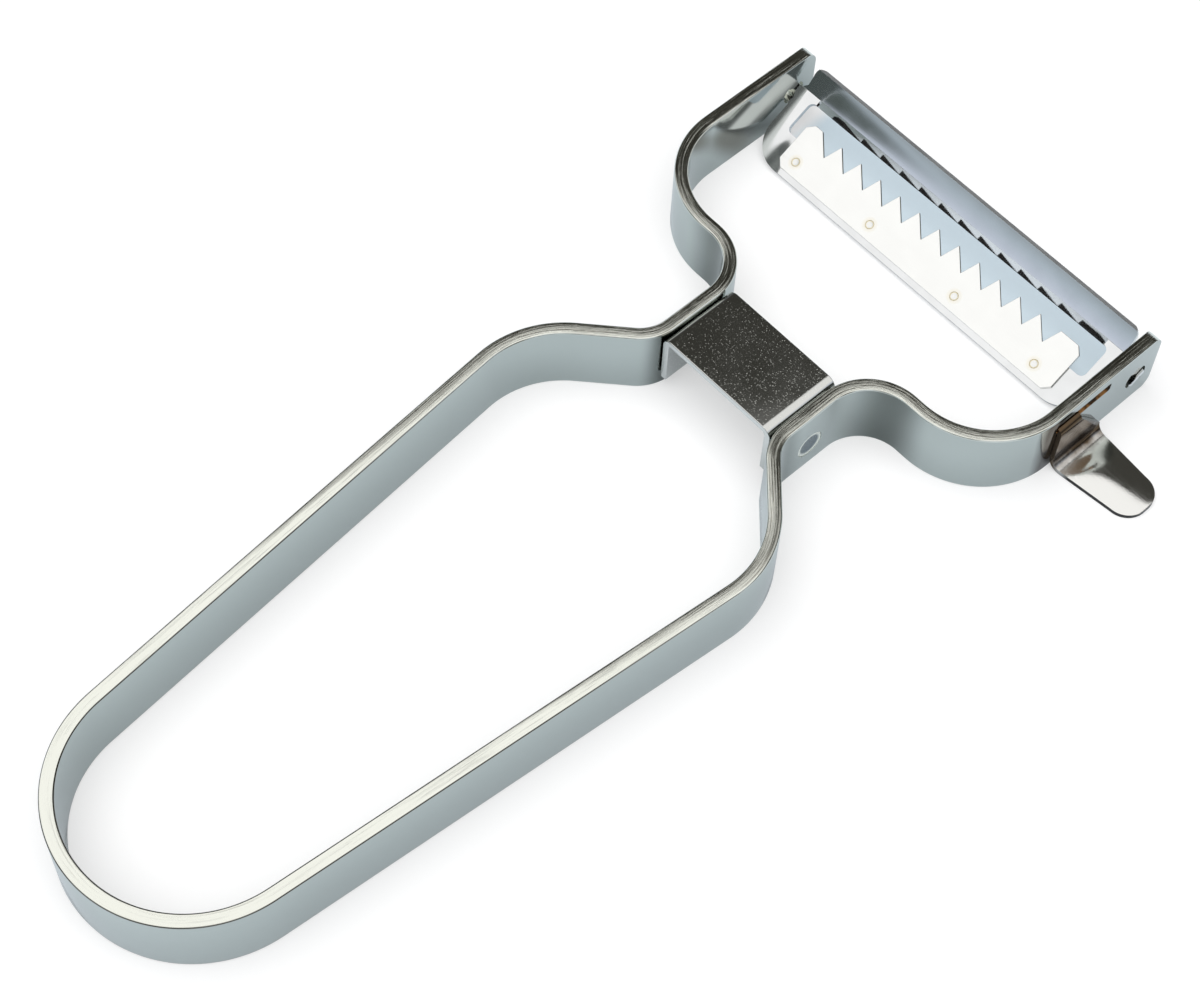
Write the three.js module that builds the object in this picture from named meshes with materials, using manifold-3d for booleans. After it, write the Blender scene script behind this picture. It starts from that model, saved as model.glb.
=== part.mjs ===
// Julienne peeler: a bent steel strip that is handle and fork in one, a saddle
// across its neck, a swivelling slotted blade with a saw-toothed comb, and a
// small spoon on the right arm. Millimetres, +Z up, +Y from handle to blade,
// +X towards the arm with the spoon. The origin is the middle of the handle's
// butt, on the strip's lower edge.

import * as THREE from 'three';
import { mergeVertices } from 'three/addons/utils/BufferGeometryUtils.js';
import Module from 'manifold-3d';

const wasm = await Module();
wasm.setup();

// Frame strip: its section, and its centreline from the butt to one arm's tip
const STRIP_WIDTH = 10;
const STRIP_THICK = 1.7;
const STRIP_EDGE_ROUND = 0.35;
const BUTT_RADIUS = 15.2;
const HANDLE_FLARE = THREE.MathUtils.degToRad(5.35);
const HANDLE_SIDE = 60.3;
const SHOULDER_RADIUS = 12.95;
const TAPER_ANGLE = THREE.MathUtils.degToRad(47.1);
const TAPER_LENGTH = 7;
const NECK_REAR_RADIUS = 5.4;
const NECK_LENGTH = 7;
const NECK_FRONT_RADIUS = 6.6;
const HEAD_RUN = 1.5;
const HEAD_RADIUS = 11;
const ARM_LENGTH = 18;
const ARM_TIP_ROUND = 1.8;
const BEND_STEP = THREE.MathUtils.degToRad(6);

// Saddle across the neck
const BRIDGE_LENGTH = 10.8;
const BRIDGE_THICK = 0.9;
const BRIDGE_BEND = 1.4;
const BRIDGE_DROP = 8;
const BRIDGE_GAP = 0.05;
const BRIDGE_WELD_RADIUS = 1.9;
const BRIDGE_WELD_HEIGHT = 4.2;
const BRIDGE_WELD_BITE = 0.45;
const BRIDGE_WELD_SINK = 0.08;

// Blade pivot
const PIVOT_FROM_TIP = 3.5;
const PIVOT_HEIGHT = 4.65;
const BLADE_TILT = THREE.MathUtils.degToRad(28);
const TAB_WIDTH = 2.6;
const TAB_PROUD = 0.3;
const TAB_CLEARANCE = 0.3;
const TAB_END_CLEARANCE = 0.4;

// Blade tray, from the pivot line: rearwards, the slot, and the front wall
const TRAY_THICK = 0.7;
const TRAY_END_GAP = 0.6;
const TRAY_REAR = 9.1;
const TRAY_REAR_ROUND = 4.5;
const SLOT_REAR = 4.2;
const SLOT_FRONT = 0.55;
const SLOT_END_BRIDGE = 2.3;
const SLOT_ROUND = 0.8;
const EDGE_BEVEL_RUN = 0.8;
const WALL_START = 1;
const WALL_RUN = 3.6;
const WALL_RISE = 1.5;
const WALL_END_INSET = 0.5;
const WALL_ROUND = 1.2;

// Comb plate
const COMB_THICK = 0.5;
const COMB_GAP = 0.05;
const COMB_REAR_MARGIN = 0.8;
const COMB_END_MARGIN = 4.3;
const COMB_DEPTH = 6.8;
const COMB_CHAMFER = 0.9;
const TOOTH_PITCH = 3.38;
const TOOTH_DEPTH = 2.45;
const TOOTH_LEAD = 0.7;
const END_TOOTH = 4.2;
const COMB_WELD_SPACING = [0, 0.32, 0.675, 1];
const COMB_WELD_LEFT_MARGIN = 2.1;
const COMB_WELD_RIGHT_MARGIN = 3.5;
const COMB_WELD_FROM_REAR = 1.7;
const COMB_WELD_RADIUS = 0.55;
const COMB_WELD_BITE = 0.35;
const COMB_WELD_SINK = 0.06;
const WELD_CLEARANCE = 0.04;

// Eye remover on the right arm
const EYE_FROM_TIP = 13.8;
const EYE_THICK = 0.6;
const EYE_GAP = 0.05;
const EYE_ROOT_WIDTH = 8.2;
const EYE_TIP_WIDTH = 6.4;
const EYE_REACH = 12;
const EYE_TIP_ROUND = 2.8;
const EYE_BEND = 1.2;
const EYE_TAB_WIDTH = 3.6;
const EYE_DOME_RADIUS = 9;
const EYE_DOME_RISE = 0.5;
const EYE_DOME_STRETCH = 1.45;
const EYE_DOME_FROM_ARM = 7.2;
const EYE_SLOT_HEIGHT = 1.4;
const EYE_SLOT_BOTTOM = 7.2;
const EYE_SLOT_END_GAP = 0.3;
const EYE_SLOT_BEYOND = 0.9;
const EYE_SEAT_CLEARANCE = 0.05;

const ROUND_STEPS = 20;
const CUT_MARGIN = 1;

// Finishes
function finish(color, roughness) {
  return new THREE.MeshStandardMaterial({ color, roughness, metalness: 1 });
}

const brushedPlate = () => finish(0xb4b3ae, 0.28);
const polishedPlate = () => finish(0x9aa3a8, 0.12);
const bladeSteel = () => finish(0xb9c1c8, 0.14);
const combSteel = () => finish(0xe9e6dc, 0.3);
const weldMetal = () => finish(0xc9bf9f, 0.4);
const spoonSteel = () => finish(0xc7c3b8, 0.2);

// Solids: closed geometry in, joined or cut, closed geometry out
function solid(geometry) {
  geometry.deleteAttribute('normal');
  geometry.deleteAttribute('uv');
  const merged = mergeVertices(geometry, 1e-4);
  return new wasm.Manifold(new wasm.Mesh({
    numProp: 3,
    vertProperties: new Float32Array(merged.attributes.position.array),
    triVerts: new Uint32Array(merged.index.array),
  }));
}

function named(name, body, material) {
  const { vertProperties, triVerts } = body.getMesh();
  const geometry = new THREE.BufferGeometry();
  geometry.setAttribute('position', new THREE.BufferAttribute(vertProperties, 3));
  geometry.setIndex(new THREE.BufferAttribute(triVerts, 1));
  geometry.computeVertexNormals();
  const mesh = new THREE.Mesh(geometry, material);
  mesh.name = name;
  return mesh;
}

// Prisms: an outline of [u, v] points run along one axis
function extruded(points, depth) {
  const shape = new THREE.Shape(points.map(([u, v]) => new THREE.Vector2(u, v)));
  return new THREE.ExtrudeGeometry(shape, { depth, bevelEnabled: false });
}

function alongX(pointsYZ, x0, x1) {
  const turn = new THREE.Matrix4().makeBasis(
    new THREE.Vector3(0, 1, 0), new THREE.Vector3(0, 0, 1), new THREE.Vector3(1, 0, 0));
  return solid(extruded(pointsYZ, x1 - x0).applyMatrix4(turn).translate(x0, 0, 0));
}

function alongY(pointsXZ, y0, y1) {
  const turn = new THREE.Matrix4().makeBasis(
    new THREE.Vector3(1, 0, 0), new THREE.Vector3(0, 0, 1), new THREE.Vector3(0, -1, 0));
  return solid(extruded(pointsXZ, y1 - y0).applyMatrix4(turn).translate(0, y1, 0));
}

function alongZ(pointsXY, z0, z1) {
  return solid(extruded(pointsXY, z1 - z0).translate(0, 0, z0));
}

function rodX(radius, y, z, x0, x1) {
  return alongX(arc(y, z, radius, 0, 2 * Math.PI, ROUND_STEPS).slice(0, -1), x0, x1);
}

function rodZ(radius, x, y, z0, z1) {
  return alongZ(arc(x, y, radius, 0, 2 * Math.PI, ROUND_STEPS).slice(0, -1), z0, z1);
}

function arc(cx, cy, radius, from, to, steps) {
  const points = [];
  for (let i = 0; i <= steps; i += 1) {
    const a = from + ((to - from) * i) / steps;
    points.push([cx + radius * Math.cos(a), cy + radius * Math.sin(a)]);
  }
  return points;
}

const mirrored = (points) => points.map(([x, y]) => [-x, y]).reverse();

// Centreline of the strip's right half: straight runs and bends, walked from the butt
function walkStrip() {
  const path = [];
  const here = { x: 0, y: 0, heading: 0 };
  const mark = () => path.push({ ...here });

  const run = (length) => {
    here.x += length * Math.cos(here.heading);
    here.y += length * Math.sin(here.heading);
    mark();
  };
  const bend = (radius, turn) => {
    const steps = Math.ceil(Math.abs(turn) / BEND_STEP);
    const chord = 2 * radius * Math.sin(Math.abs(turn) / steps / 2);
    for (let i = 0; i < steps; i += 1) {
      const along = here.heading + turn / steps / 2;
      here.x += chord * Math.cos(along);
      here.y += chord * Math.sin(along);
      here.heading += turn / steps;
      mark();
    }
  };

  mark();
  bend(BUTT_RADIUS, Math.PI / 2 - HANDLE_FLARE);
  run(HANDLE_SIDE);
  bend(SHOULDER_RADIUS, HANDLE_FLARE + TAPER_ANGLE);
  run(TAPER_LENGTH);
  bend(NECK_REAR_RADIUS, -TAPER_ANGLE);
  const neck = { x: here.x, y: here.y + NECK_LENGTH / 2 };
  run(NECK_LENGTH);
  bend(NECK_FRONT_RADIUS, -Math.PI / 2);
  run(HEAD_RUN);
  bend(HEAD_RADIUS, Math.PI / 2);
  run(ARM_LENGTH);
  return { path, neck, tip: { x: here.x, y: here.y } };
}

const { path: stripPath, neck, tip } = walkStrip();
const neckInner = neck.x - STRIP_THICK / 2;
const neckOuter = neck.x + STRIP_THICK / 2;
const armInner = tip.x - STRIP_THICK / 2;
const armOuter = tip.x + STRIP_THICK / 2;
const pivotY = tip.y - PIVOT_FROM_TIP;
const eyeY = tip.y - EYE_FROM_TIP;
const eyeRear = eyeY - EYE_ROOT_WIDTH / 2;

function stripSide(offset) {
  return stripPath.map(({ x, y, heading }) => [
    x + offset * Math.sin(heading),
    y - offset * Math.cos(heading),
  ]);
}

function stripBody() {
  const outer = stripSide(STRIP_THICK / 2);
  const inner = stripSide(-STRIP_THICK / 2);
  const right = [...outer, ...inner.slice().reverse()];
  const left = mirrored(right).slice(1, -1);
  const outline = new THREE.Shape([...right, ...left].map(([x, y]) => new THREE.Vector2(x, y)));
  return solid(new THREE.ExtrudeGeometry(outline, {
    depth: STRIP_WIDTH - 2 * STRIP_EDGE_ROUND,
    bevelEnabled: true,
    bevelThickness: STRIP_EDGE_ROUND,
    bevelSize: STRIP_EDGE_ROUND,
    bevelOffset: -STRIP_EDGE_ROUND,
    bevelSegments: 2,
  }).translate(0, 0, STRIP_EDGE_ROUND));
}

// Hourglass hole: the space the flat tab sweeps between its two stops
function hourglass() {
  const reach = TAB_WIDTH / 2 + TAB_END_CLEARANCE;
  const half = TRAY_THICK / 2 + TAB_CLEARANCE;
  const waist = half / Math.cos(BLADE_TILT);
  const flank = BLADE_TILT + Math.asin(half / reach);
  const lobe = arc(0, 0, reach, -flank, flank, 6);
  const back = lobe.map(([y, z]) => [-y, -z]);
  const ring = [[0, -waist], ...lobe, [0, waist], ...back];
  return ring.map(([y, z]) => [pivotY + y, PIVOT_HEIGHT + z]);
}

// What lies outside the rounded upper or lower corner of an arm's tip
function tipCorner(level, up) {
  const r = ARM_TIP_ROUND;
  const y = tip.y - r;
  const z = level - up * r;
  const curve = arc(y, z, r, 0, (up * Math.PI) / 2, 6);
  const far = r + CUT_MARGIN;
  const corner = [...curve, [y, z + up * far], [y + far, z + up * far], [y + far, z]];
  return up > 0 ? corner.reverse() : corner;
}

function frameStrip() {
  const wide = armOuter + CUT_MARGIN;
  const slot = [
    [eyeRear - EYE_SLOT_END_GAP, EYE_SLOT_BOTTOM],
    [eyeY + EYE_ROOT_WIDTH / 2 + EYE_SLOT_BEYOND, EYE_SLOT_BOTTOM],
    [eyeY + EYE_ROOT_WIDTH / 2 + EYE_SLOT_BEYOND, EYE_SLOT_BOTTOM + EYE_SLOT_HEIGHT],
    [eyeRear - EYE_SLOT_END_GAP, EYE_SLOT_BOTTOM + EYE_SLOT_HEIGHT],
  ];
  const weld = BRIDGE_WELD_RADIUS + WELD_CLEARANCE;
  const weldReach = neckOuter + CUT_MARGIN;
  const body = stripBody()
    .subtract(alongX(tipCorner(STRIP_WIDTH, 1), -wide, wide))
    .subtract(alongX(tipCorner(0, -1), -wide, wide))
    .subtract(alongX(hourglass(), -wide, wide))
    .subtract(alongX(slot, armInner - CUT_MARGIN, wide))
    .subtract(rodX(weld, neck.y, BRIDGE_WELD_HEIGHT, -weldReach, weldReach));
  return named('frame_strip', body, brushedPlate());
}

// Saddle: an upside-down U with bent corners, against the neck's inner faces
const bridgeSide = neckInner - BRIDGE_GAP;

function bridge() {
  const x = bridgeSide;
  const top = STRIP_WIDTH;
  const foot = STRIP_WIDTH - BRIDGE_DROP;
  const bendX = x - BRIDGE_BEND;
  const bendZ = top - BRIDGE_BEND;
  const outer = arc(bendX, bendZ, BRIDGE_BEND, 0, Math.PI / 2, 6);
  const inner = arc(bendX, bendZ, BRIDGE_BEND - BRIDGE_THICK, Math.PI / 2, 0, 6);
  const outside = [[x, foot], ...outer, ...mirrored(outer), [-x, foot]];
  const inside = [[-x + BRIDGE_THICK, foot], ...mirrored(inner), ...inner, [x - BRIDGE_THICK, foot]];
  const half = BRIDGE_LENGTH / 2;
  const pocket = BRIDGE_WELD_RADIUS + WELD_CLEARANCE;
  const bite = bridgeSide - BRIDGE_WELD_BITE - WELD_CLEARANCE;
  const reach = neckOuter + CUT_MARGIN;
  const body = alongY([...outside, ...inside], neck.y - half, neck.y + half)
    .subtract(rodX(pocket, neck.y, BRIDGE_WELD_HEIGHT, bite, reach))
    .subtract(rodX(pocket, neck.y, BRIDGE_WELD_HEIGHT, -reach, -bite));
  return named('bridge', body, polishedPlate());
}

function bridgeWeld(name, side) {
  const ends = [side * (bridgeSide - BRIDGE_WELD_BITE), side * (neckOuter - BRIDGE_WELD_SINK)];
  const body = rodX(BRIDGE_WELD_RADIUS, neck.y, BRIDGE_WELD_HEIGHT, Math.min(...ends), Math.max(...ends));
  return named(name, body, weldMetal());
}

// Blade tray, drawn about the pivot line with its floor level
const floorTop = TRAY_THICK / 2;
const trayHalf = armInner - TRAY_END_GAP;
const slotHalf = trayHalf - SLOT_END_BRIDGE;

function trayPlan() {
  const r = TRAY_REAR_ROUND;
  const wallHalf = trayHalf - WALL_END_INSET;
  const wallTop = WALL_START + WALL_RUN;
  const right = [
    ...arc(trayHalf - r, r - TRAY_REAR, r, -Math.PI / 2, 0, 8),
    [trayHalf, WALL_START],
    [wallHalf, WALL_START + WALL_END_INSET],
    ...arc(wallHalf - WALL_ROUND, wallTop - WALL_ROUND, WALL_ROUND, 0, Math.PI / 2, 5),
  ];
  return [...right, ...mirrored(right)];
}

function slotPlan() {
  const r = SLOT_ROUND;
  const x = slotHalf - r;
  const right = [
    ...arc(x, r - SLOT_REAR, r, -Math.PI / 2, 0, 4),
    ...arc(x, SLOT_FRONT - r, r, 0, Math.PI / 2, 4),
  ];
  return [...right, ...mirrored(right)];
}

function trayProfile() {
  const t = TRAY_THICK / 2;
  const end = WALL_START + WALL_RUN;
  return [
    [-TRAY_REAR, -t],
    [WALL_START, -t],
    [end, WALL_RISE - t],
    [end, WALL_RISE + t],
    [WALL_START, t],
    [-TRAY_REAR, t],
  ];
}

function bladeTray() {
  const t = TRAY_THICK / 2;
  const deep = WALL_RISE + TRAY_THICK;
  const tabReach = armOuter + TAB_PROUD;
  const tab = [[-TAB_WIDTH / 2, -t], [TAB_WIDTH / 2, -t], [TAB_WIDTH / 2, t], [-TAB_WIDTH / 2, t]];
  const bevelHalf = slotHalf - SLOT_ROUND;
  const bevel = [
    [SLOT_FRONT - CUT_MARGIN, -t],
    [SLOT_FRONT, -t],
    [SLOT_FRONT + EDGE_BEVEL_RUN, t],
    [SLOT_FRONT + EDGE_BEVEL_RUN, t + CUT_MARGIN],
    [SLOT_FRONT - CUT_MARGIN, t + CUT_MARGIN],
  ];
  let body = alongX(trayProfile(), -trayHalf, trayHalf)
    .intersect(alongZ(trayPlan(), -deep, deep))
    .subtract(alongZ(slotPlan(), -deep, deep))
    .subtract(alongX(bevel, -bevelHalf, bevelHalf))
    .add(alongX(tab, -tabReach, -slotHalf - SLOT_ROUND))
    .add(alongX(tab, slotHalf + SLOT_ROUND, tabReach));
  for (const x of combWeldX) {
    const radius = COMB_WELD_RADIUS + WELD_CLEARANCE;
    const floor = floorTop - COMB_WELD_BITE - WELD_CLEARANCE;
    body = body.subtract(rodZ(radius, x, combWeldY, floor, floorTop + CUT_MARGIN));
  }
  return named('blade_tray', body, bladeSteel());
}

// Comb plate: a saw edge of whole teeth, with a blunt tooth left at each end
const combRear = COMB_REAR_MARGIN - TRAY_REAR;
const combFront = combRear + COMB_DEPTH;
const combHalf = trayHalf - COMB_END_MARGIN;
const combWeldY = combRear + COMB_WELD_FROM_REAR;
const combWeldRow = 2 * combHalf - COMB_WELD_LEFT_MARGIN - COMB_WELD_RIGHT_MARGIN;
const combWeldX = COMB_WELD_SPACING.map((share) => COMB_WELD_LEFT_MARGIN - combHalf + share * combWeldRow);
const combUnder = floorTop + COMB_GAP;
const combTop = combUnder + COMB_THICK;

function combPlan() {
  const c = COMB_CHAMFER;
  const valleys = Math.floor((2 * combHalf - 2 * END_TOOTH) / TOOTH_PITCH) + 1;
  const first = (-(valleys - 1) * TOOTH_PITCH) / 2;
  const saw = [[first - TOOTH_PITCH + TOOTH_LEAD, combFront]];
  for (let i = 0; i < valleys; i += 1) {
    const x = first + i * TOOTH_PITCH;
    saw.push([x, combFront - TOOTH_DEPTH], [x + TOOTH_LEAD, combFront]);
  }
  return [
    [-combHalf + c, combRear],
    [combHalf - c, combRear],
    [combHalf, combRear + c],
    [combHalf, combFront - c],
    [combHalf - c, combFront],
    ...saw.reverse(),
    [-combHalf + c, combFront],
    [-combHalf, combFront - c],
    [-combHalf, combRear + c],
  ];
}

function combPlate() {
  let body = alongZ(combPlan(), combUnder, combTop);
  for (const x of combWeldX) {
    const radius = COMB_WELD_RADIUS + WELD_CLEARANCE;
    body = body.subtract(rodZ(radius, x, combWeldY, combUnder - CUT_MARGIN, combTop + CUT_MARGIN));
  }
  return named('comb_plate', body, combSteel());
}

function combWeld(name, x) {
  const body = rodZ(COMB_WELD_RADIUS, x, combWeldY, floorTop - COMB_WELD_BITE, combTop - COMB_WELD_SINK);
  return named(name, body, weldMetal());
}

// Eye remover: one sheet, tab in the slot, flange down the arm, spoon outwards
const eyeFace = armOuter + EYE_GAP;
const eyeTip = armOuter + EYE_REACH;

function eyeProfile() {
  const t = EYE_THICK;
  const x = eyeFace;
  const tabLow = EYE_SLOT_BOTTOM + EYE_SEAT_CLEARANCE;
  const centreX = x + t + EYE_BEND;
  const centreZ = t + EYE_BEND;
  return [
    [armInner, tabLow],
    [x, tabLow],
    ...arc(centreX, centreZ, EYE_BEND + t, Math.PI, 1.5 * Math.PI, 6),
    [eyeTip, 0],
    [eyeTip, t],
    ...arc(centreX, centreZ, EYE_BEND, 1.5 * Math.PI, Math.PI, 6),
    [x + t, tabLow + t],
    [armInner, tabLow + t],
  ];
}

function eyePlan() {
  const root = EYE_ROOT_WIDTH / 2;
  const nose = EYE_TIP_WIDTH / 2;
  const r = EYE_TIP_ROUND;
  const x = eyeTip - r;
  return [
    [armInner - CUT_MARGIN, eyeY - root],
    [eyeFace, eyeY - root],
    ...arc(x, eyeY - nose + r, r, -Math.PI / 2, 0, 6),
    ...arc(x, eyeY + nose - r, r, 0, Math.PI / 2, 6),
    [eyeFace, eyeY + root],
    [armInner - CUT_MARGIN, eyeY + root],
  ];
}

// Seen along the arm's thickness, the flange narrows from the spoon up to its tab
function eyeSide() {
  const top = EYE_SLOT_BOTTOM + EYE_SLOT_HEIGHT;
  const bendTop = EYE_THICK + EYE_BEND;
  return [
    [eyeRear - CUT_MARGIN, -CUT_MARGIN],
    [eyeRear + EYE_ROOT_WIDTH + CUT_MARGIN, -CUT_MARGIN],
    [eyeRear + EYE_ROOT_WIDTH + CUT_MARGIN, bendTop],
    [eyeRear + EYE_ROOT_WIDTH, bendTop],
    [eyeRear + EYE_TAB_WIDTH, EYE_SLOT_BOTTOM],
    [eyeRear + EYE_TAB_WIDTH, top],
    [eyeRear - CUT_MARGIN, top],
  ];
}

// Ellipsoid whose top is at the given height, over the middle of the spoon
function eyeDome(top) {
  const ball = new THREE.SphereGeometry(EYE_DOME_RADIUS, 48, 32).rotateX(Math.PI / 2);
  ball.scale(EYE_DOME_STRETCH, 1, 1);
  return solid(ball.translate(armOuter + EYE_DOME_FROM_ARM, eyeY, top - EYE_DOME_RADIUS));
}

function eyeRemover() {
  const root = EYE_ROOT_WIDTH / 2;
  const crown = eyeDome(EYE_THICK + EYE_DOME_RISE).intersect(alongZ(eyePlan(), EYE_THICK / 2, STRIP_WIDTH));
  const body = alongY(eyeProfile(), eyeY - root, eyeY + root)
    .intersect(alongZ(eyePlan(), -CUT_MARGIN, STRIP_WIDTH))
    .intersect(alongX(eyeSide(), armInner - CUT_MARGIN, eyeTip + CUT_MARGIN))
    .add(crown)
    .subtract(eyeDome(EYE_DOME_RISE));
  return named('eye_remover', body, spoonSteel());
}

// Assembly
const peeler = new THREE.Group();
peeler.add(frameStrip(), bridge());
peeler.add(bridgeWeld('bridge_weld_left', -1), bridgeWeld('bridge_weld_right', 1));
peeler.add(eyeRemover());

const blade = new THREE.Group();
blade.position.set(0, pivotY, PIVOT_HEIGHT);
blade.rotation.x = BLADE_TILT;
blade.add(bladeTray(), combPlate());
combWeldX.forEach((x, i) => blade.add(combWeld(`comb_weld_${i + 1}`, x)));
peeler.add(blade);

export default peeler;
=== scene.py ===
"""Julienne peeler in bright steel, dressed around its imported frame.

Metres, in the frame's own axes: +Y from the handle to the blade, +X towards
the arm with the spoon, +Z up, with the strip standing on its lower edge.
"""

import math
from functools import reduce

import bmesh
import bpy
from mathutils import Matrix, Vector


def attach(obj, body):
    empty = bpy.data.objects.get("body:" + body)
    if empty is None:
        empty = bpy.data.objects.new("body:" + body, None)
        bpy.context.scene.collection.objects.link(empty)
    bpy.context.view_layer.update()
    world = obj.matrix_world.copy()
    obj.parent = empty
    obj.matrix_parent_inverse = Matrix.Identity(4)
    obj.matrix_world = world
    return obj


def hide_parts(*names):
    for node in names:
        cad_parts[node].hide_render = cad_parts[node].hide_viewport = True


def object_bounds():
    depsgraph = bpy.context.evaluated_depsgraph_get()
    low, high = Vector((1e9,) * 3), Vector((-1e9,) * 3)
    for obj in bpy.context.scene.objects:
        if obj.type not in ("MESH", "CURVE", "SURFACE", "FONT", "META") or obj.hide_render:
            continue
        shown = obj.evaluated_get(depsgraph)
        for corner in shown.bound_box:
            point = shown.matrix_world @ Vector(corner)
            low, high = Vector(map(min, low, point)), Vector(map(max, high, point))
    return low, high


bl_info = {
    "name": "Julienne Peeler",
    "version": (1, 0, 0),
    "blender": (4, 5, 0),
    "location": "View3D > Sidebar > Peeler",
    "description": "Builds the strip, saddle, blade, comb and spoon of a julienne peeler",
    "category": "Object",
}

MM = 0.001
CUT_MARGIN = 1 * MM
# Room round a weld's plug, over its face and behind it
WELD_ROOM, WELD_SHY, POCKET_ROOM = 0.005 * MM, 0.01 * MM, 0.02 * MM
# Room before the wall's rim in the tray's plan, and the half width that closes the spoon's tip
RIM_ROOM, TIP_LEAST = 0.02 * MM, 0.02 * MM
# Corner radius of the tabs' ends and of the slot in the arm, and points round a comb weld
PUNCH_ROUND, SPOT_POINTS = 0.3 * MM, 32
# Share of the end gap that the root of a tab may fill, overrun of the ground cut past the
# sheet, and the power that rounds the spoon's dome off towards both ends
ROOT_SHARE, GROUND_OVERRUN, DOME_POWER = 0.9, 1.5, 0.8

# Studio surroundings by height above the horizon: the bright ceiling on the near side, and
# the dark room beyond the blade, parted by a blurred plane through the object. Dark cards
# stand where the camera and its stand would: direction, sharp and blurred radius, colour.
CEILING_STOPS = (
    (0.0, "#8F979C"), (0.62, "#FFFFFF"), (0.1, "#9CA6AC"), (0.24, "#B2BEC8"), (0.42, "#C9D1DF"))
ROOM_STOPS = ((0.0, "#8E939A"), (0.4, "#3E3D39"), (0.16, "#6E7074"), (1.0, "#3A3A36"))
ROOM_SIDE, ROOM_BLUR = (-0.4, 1.0, -0.607), 0.05
DARK_CARDS = (
    ((0.37, -0.37, 0.85), math.radians(2), math.radians(9), "#6E7070"),
    ((0.95, 0.08, 0.32), math.radians(10), math.radians(18), "#4A4036"),
    ((0.45, -0.86, 0.24), math.radians(13), math.radians(22), "#63696A"),
    ((-0.62, -0.75, 0.25), math.radians(15.5), math.radians(17.5), "#525A58"),
)
# Painted shade seen only in the metal, a dark spot on the floor standing in for contact
# shadow: x, y, inner and outer radius in mm
FLOOR_SHADE_SPOTS = ((-25.6, 124.0, 1.0, 4.5),)
FLOOR_SHADE_TONE = "#50524D"
# Painted shade on the floor under the blade: half sizes in x and y, its middle behind the
# pivot, and its fade
SHADE_HALF, SHADE_BEHIND, SHADE_FADE = (24 * MM, 4 * MM), 0.5 * MM, 2.5 * MM
# Softbox: its place behind the target and its lean. Camera: sensor in mm, nearest distance.
LAMP_BACK, LAMP_LEAN = 0.3, math.radians(-15)
SENSOR_WIDTH, NEAR_CLIP = 36.0, 0.01

# Tight bends of the strip where shade is painted into the plate's colour: x and y of the right
# one in mm, and the distances over which the painted shade fades, in mm
SHADED_BENDS = ((14.6, 105.0, 0.5, 6.0), (8.7, 92.4, 0.5, 3.8))
# Where the strip's edge goes from smooth to coarsely linished, in y
COARSE_EDGE = (50.0 * MM, 85.0 * MM)
# Tarnish reaches this far past the slot's ends and sides
TARNISH_ROOM = (0.2 * MM, 0.1 * MM)
# Painted reflection of the spoon's brown root on the arm: its middle behind the spoon, its
# wander, its depth, where it fades
REFLECTION_BEHIND, REFLECTION_WANDER, REFLECTION_DEPTH = 0.6 * MM, 1.6 * MM, 3.0 * MM
REFLECTION_FADE = (3.6 * MM, 2.0 * MM)
# Heat tint at the spoon's root: its wander and where it fades, and where the dark rim starts
TINT_WANDER, TINT_FADE, RIM_FADE = 2.0 * MM, (3.4 * MM, 1.8 * MM), (1.0 * MM, 3.0 * MM)
# Straw tint round a comb weld and the bare metal beside it, by distance from its middle
HALO_FADE, SHEARED_FADE = (1.1 * MM, 0.5 * MM), (0.7 * MM, 0.9 * MM)
# Hollow beside each tab: its two ends and its deepest line from the tray's end, and its depth
HOLLOW_ENDS, HOLLOW_LINE, HOLLOW_DEPTH = (-6.5 * MM, 0.2 * MM), 3.0 * MM, 0.16 * MM

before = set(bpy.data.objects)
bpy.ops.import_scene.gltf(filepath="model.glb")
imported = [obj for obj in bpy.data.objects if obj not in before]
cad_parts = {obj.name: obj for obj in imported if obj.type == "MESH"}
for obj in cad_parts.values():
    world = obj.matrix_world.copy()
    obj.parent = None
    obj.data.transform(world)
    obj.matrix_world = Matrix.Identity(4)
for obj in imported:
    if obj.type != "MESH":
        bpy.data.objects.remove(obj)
CAD_BOX = [list(corner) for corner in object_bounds()]


def linear(code):
    """Linear colour of an sRGB hex value."""
    parts = [int(code[i:i + 2], 16) / 255 for i in (1, 3, 5)]
    return tuple(p / 12.92 if p <= 0.04045 else ((p + 0.055) / 1.055) ** 2.4 for p in parts)


def length(name, millimetres, description):
    return bpy.props.FloatProperty(
        name=name, description=description, default=millimetres * MM,
        precision=5, unit="LENGTH", subtype="DISTANCE")


def angle(name, degrees, description):
    return bpy.props.FloatProperty(
        name=name, description=description, default=math.radians(degrees),
        unit="ROTATION", subtype="ANGLE")


def colour(name, code, description):
    return bpy.props.FloatVectorProperty(
        name=name, description=description, default=linear(code),
        size=3, min=0.0, max=1.0, subtype="COLOR")


def share(name, value, description):
    return bpy.props.FloatProperty(
        name=name, description=description, default=value, min=0.0, max=1.0, subtype="FACTOR")


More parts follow.
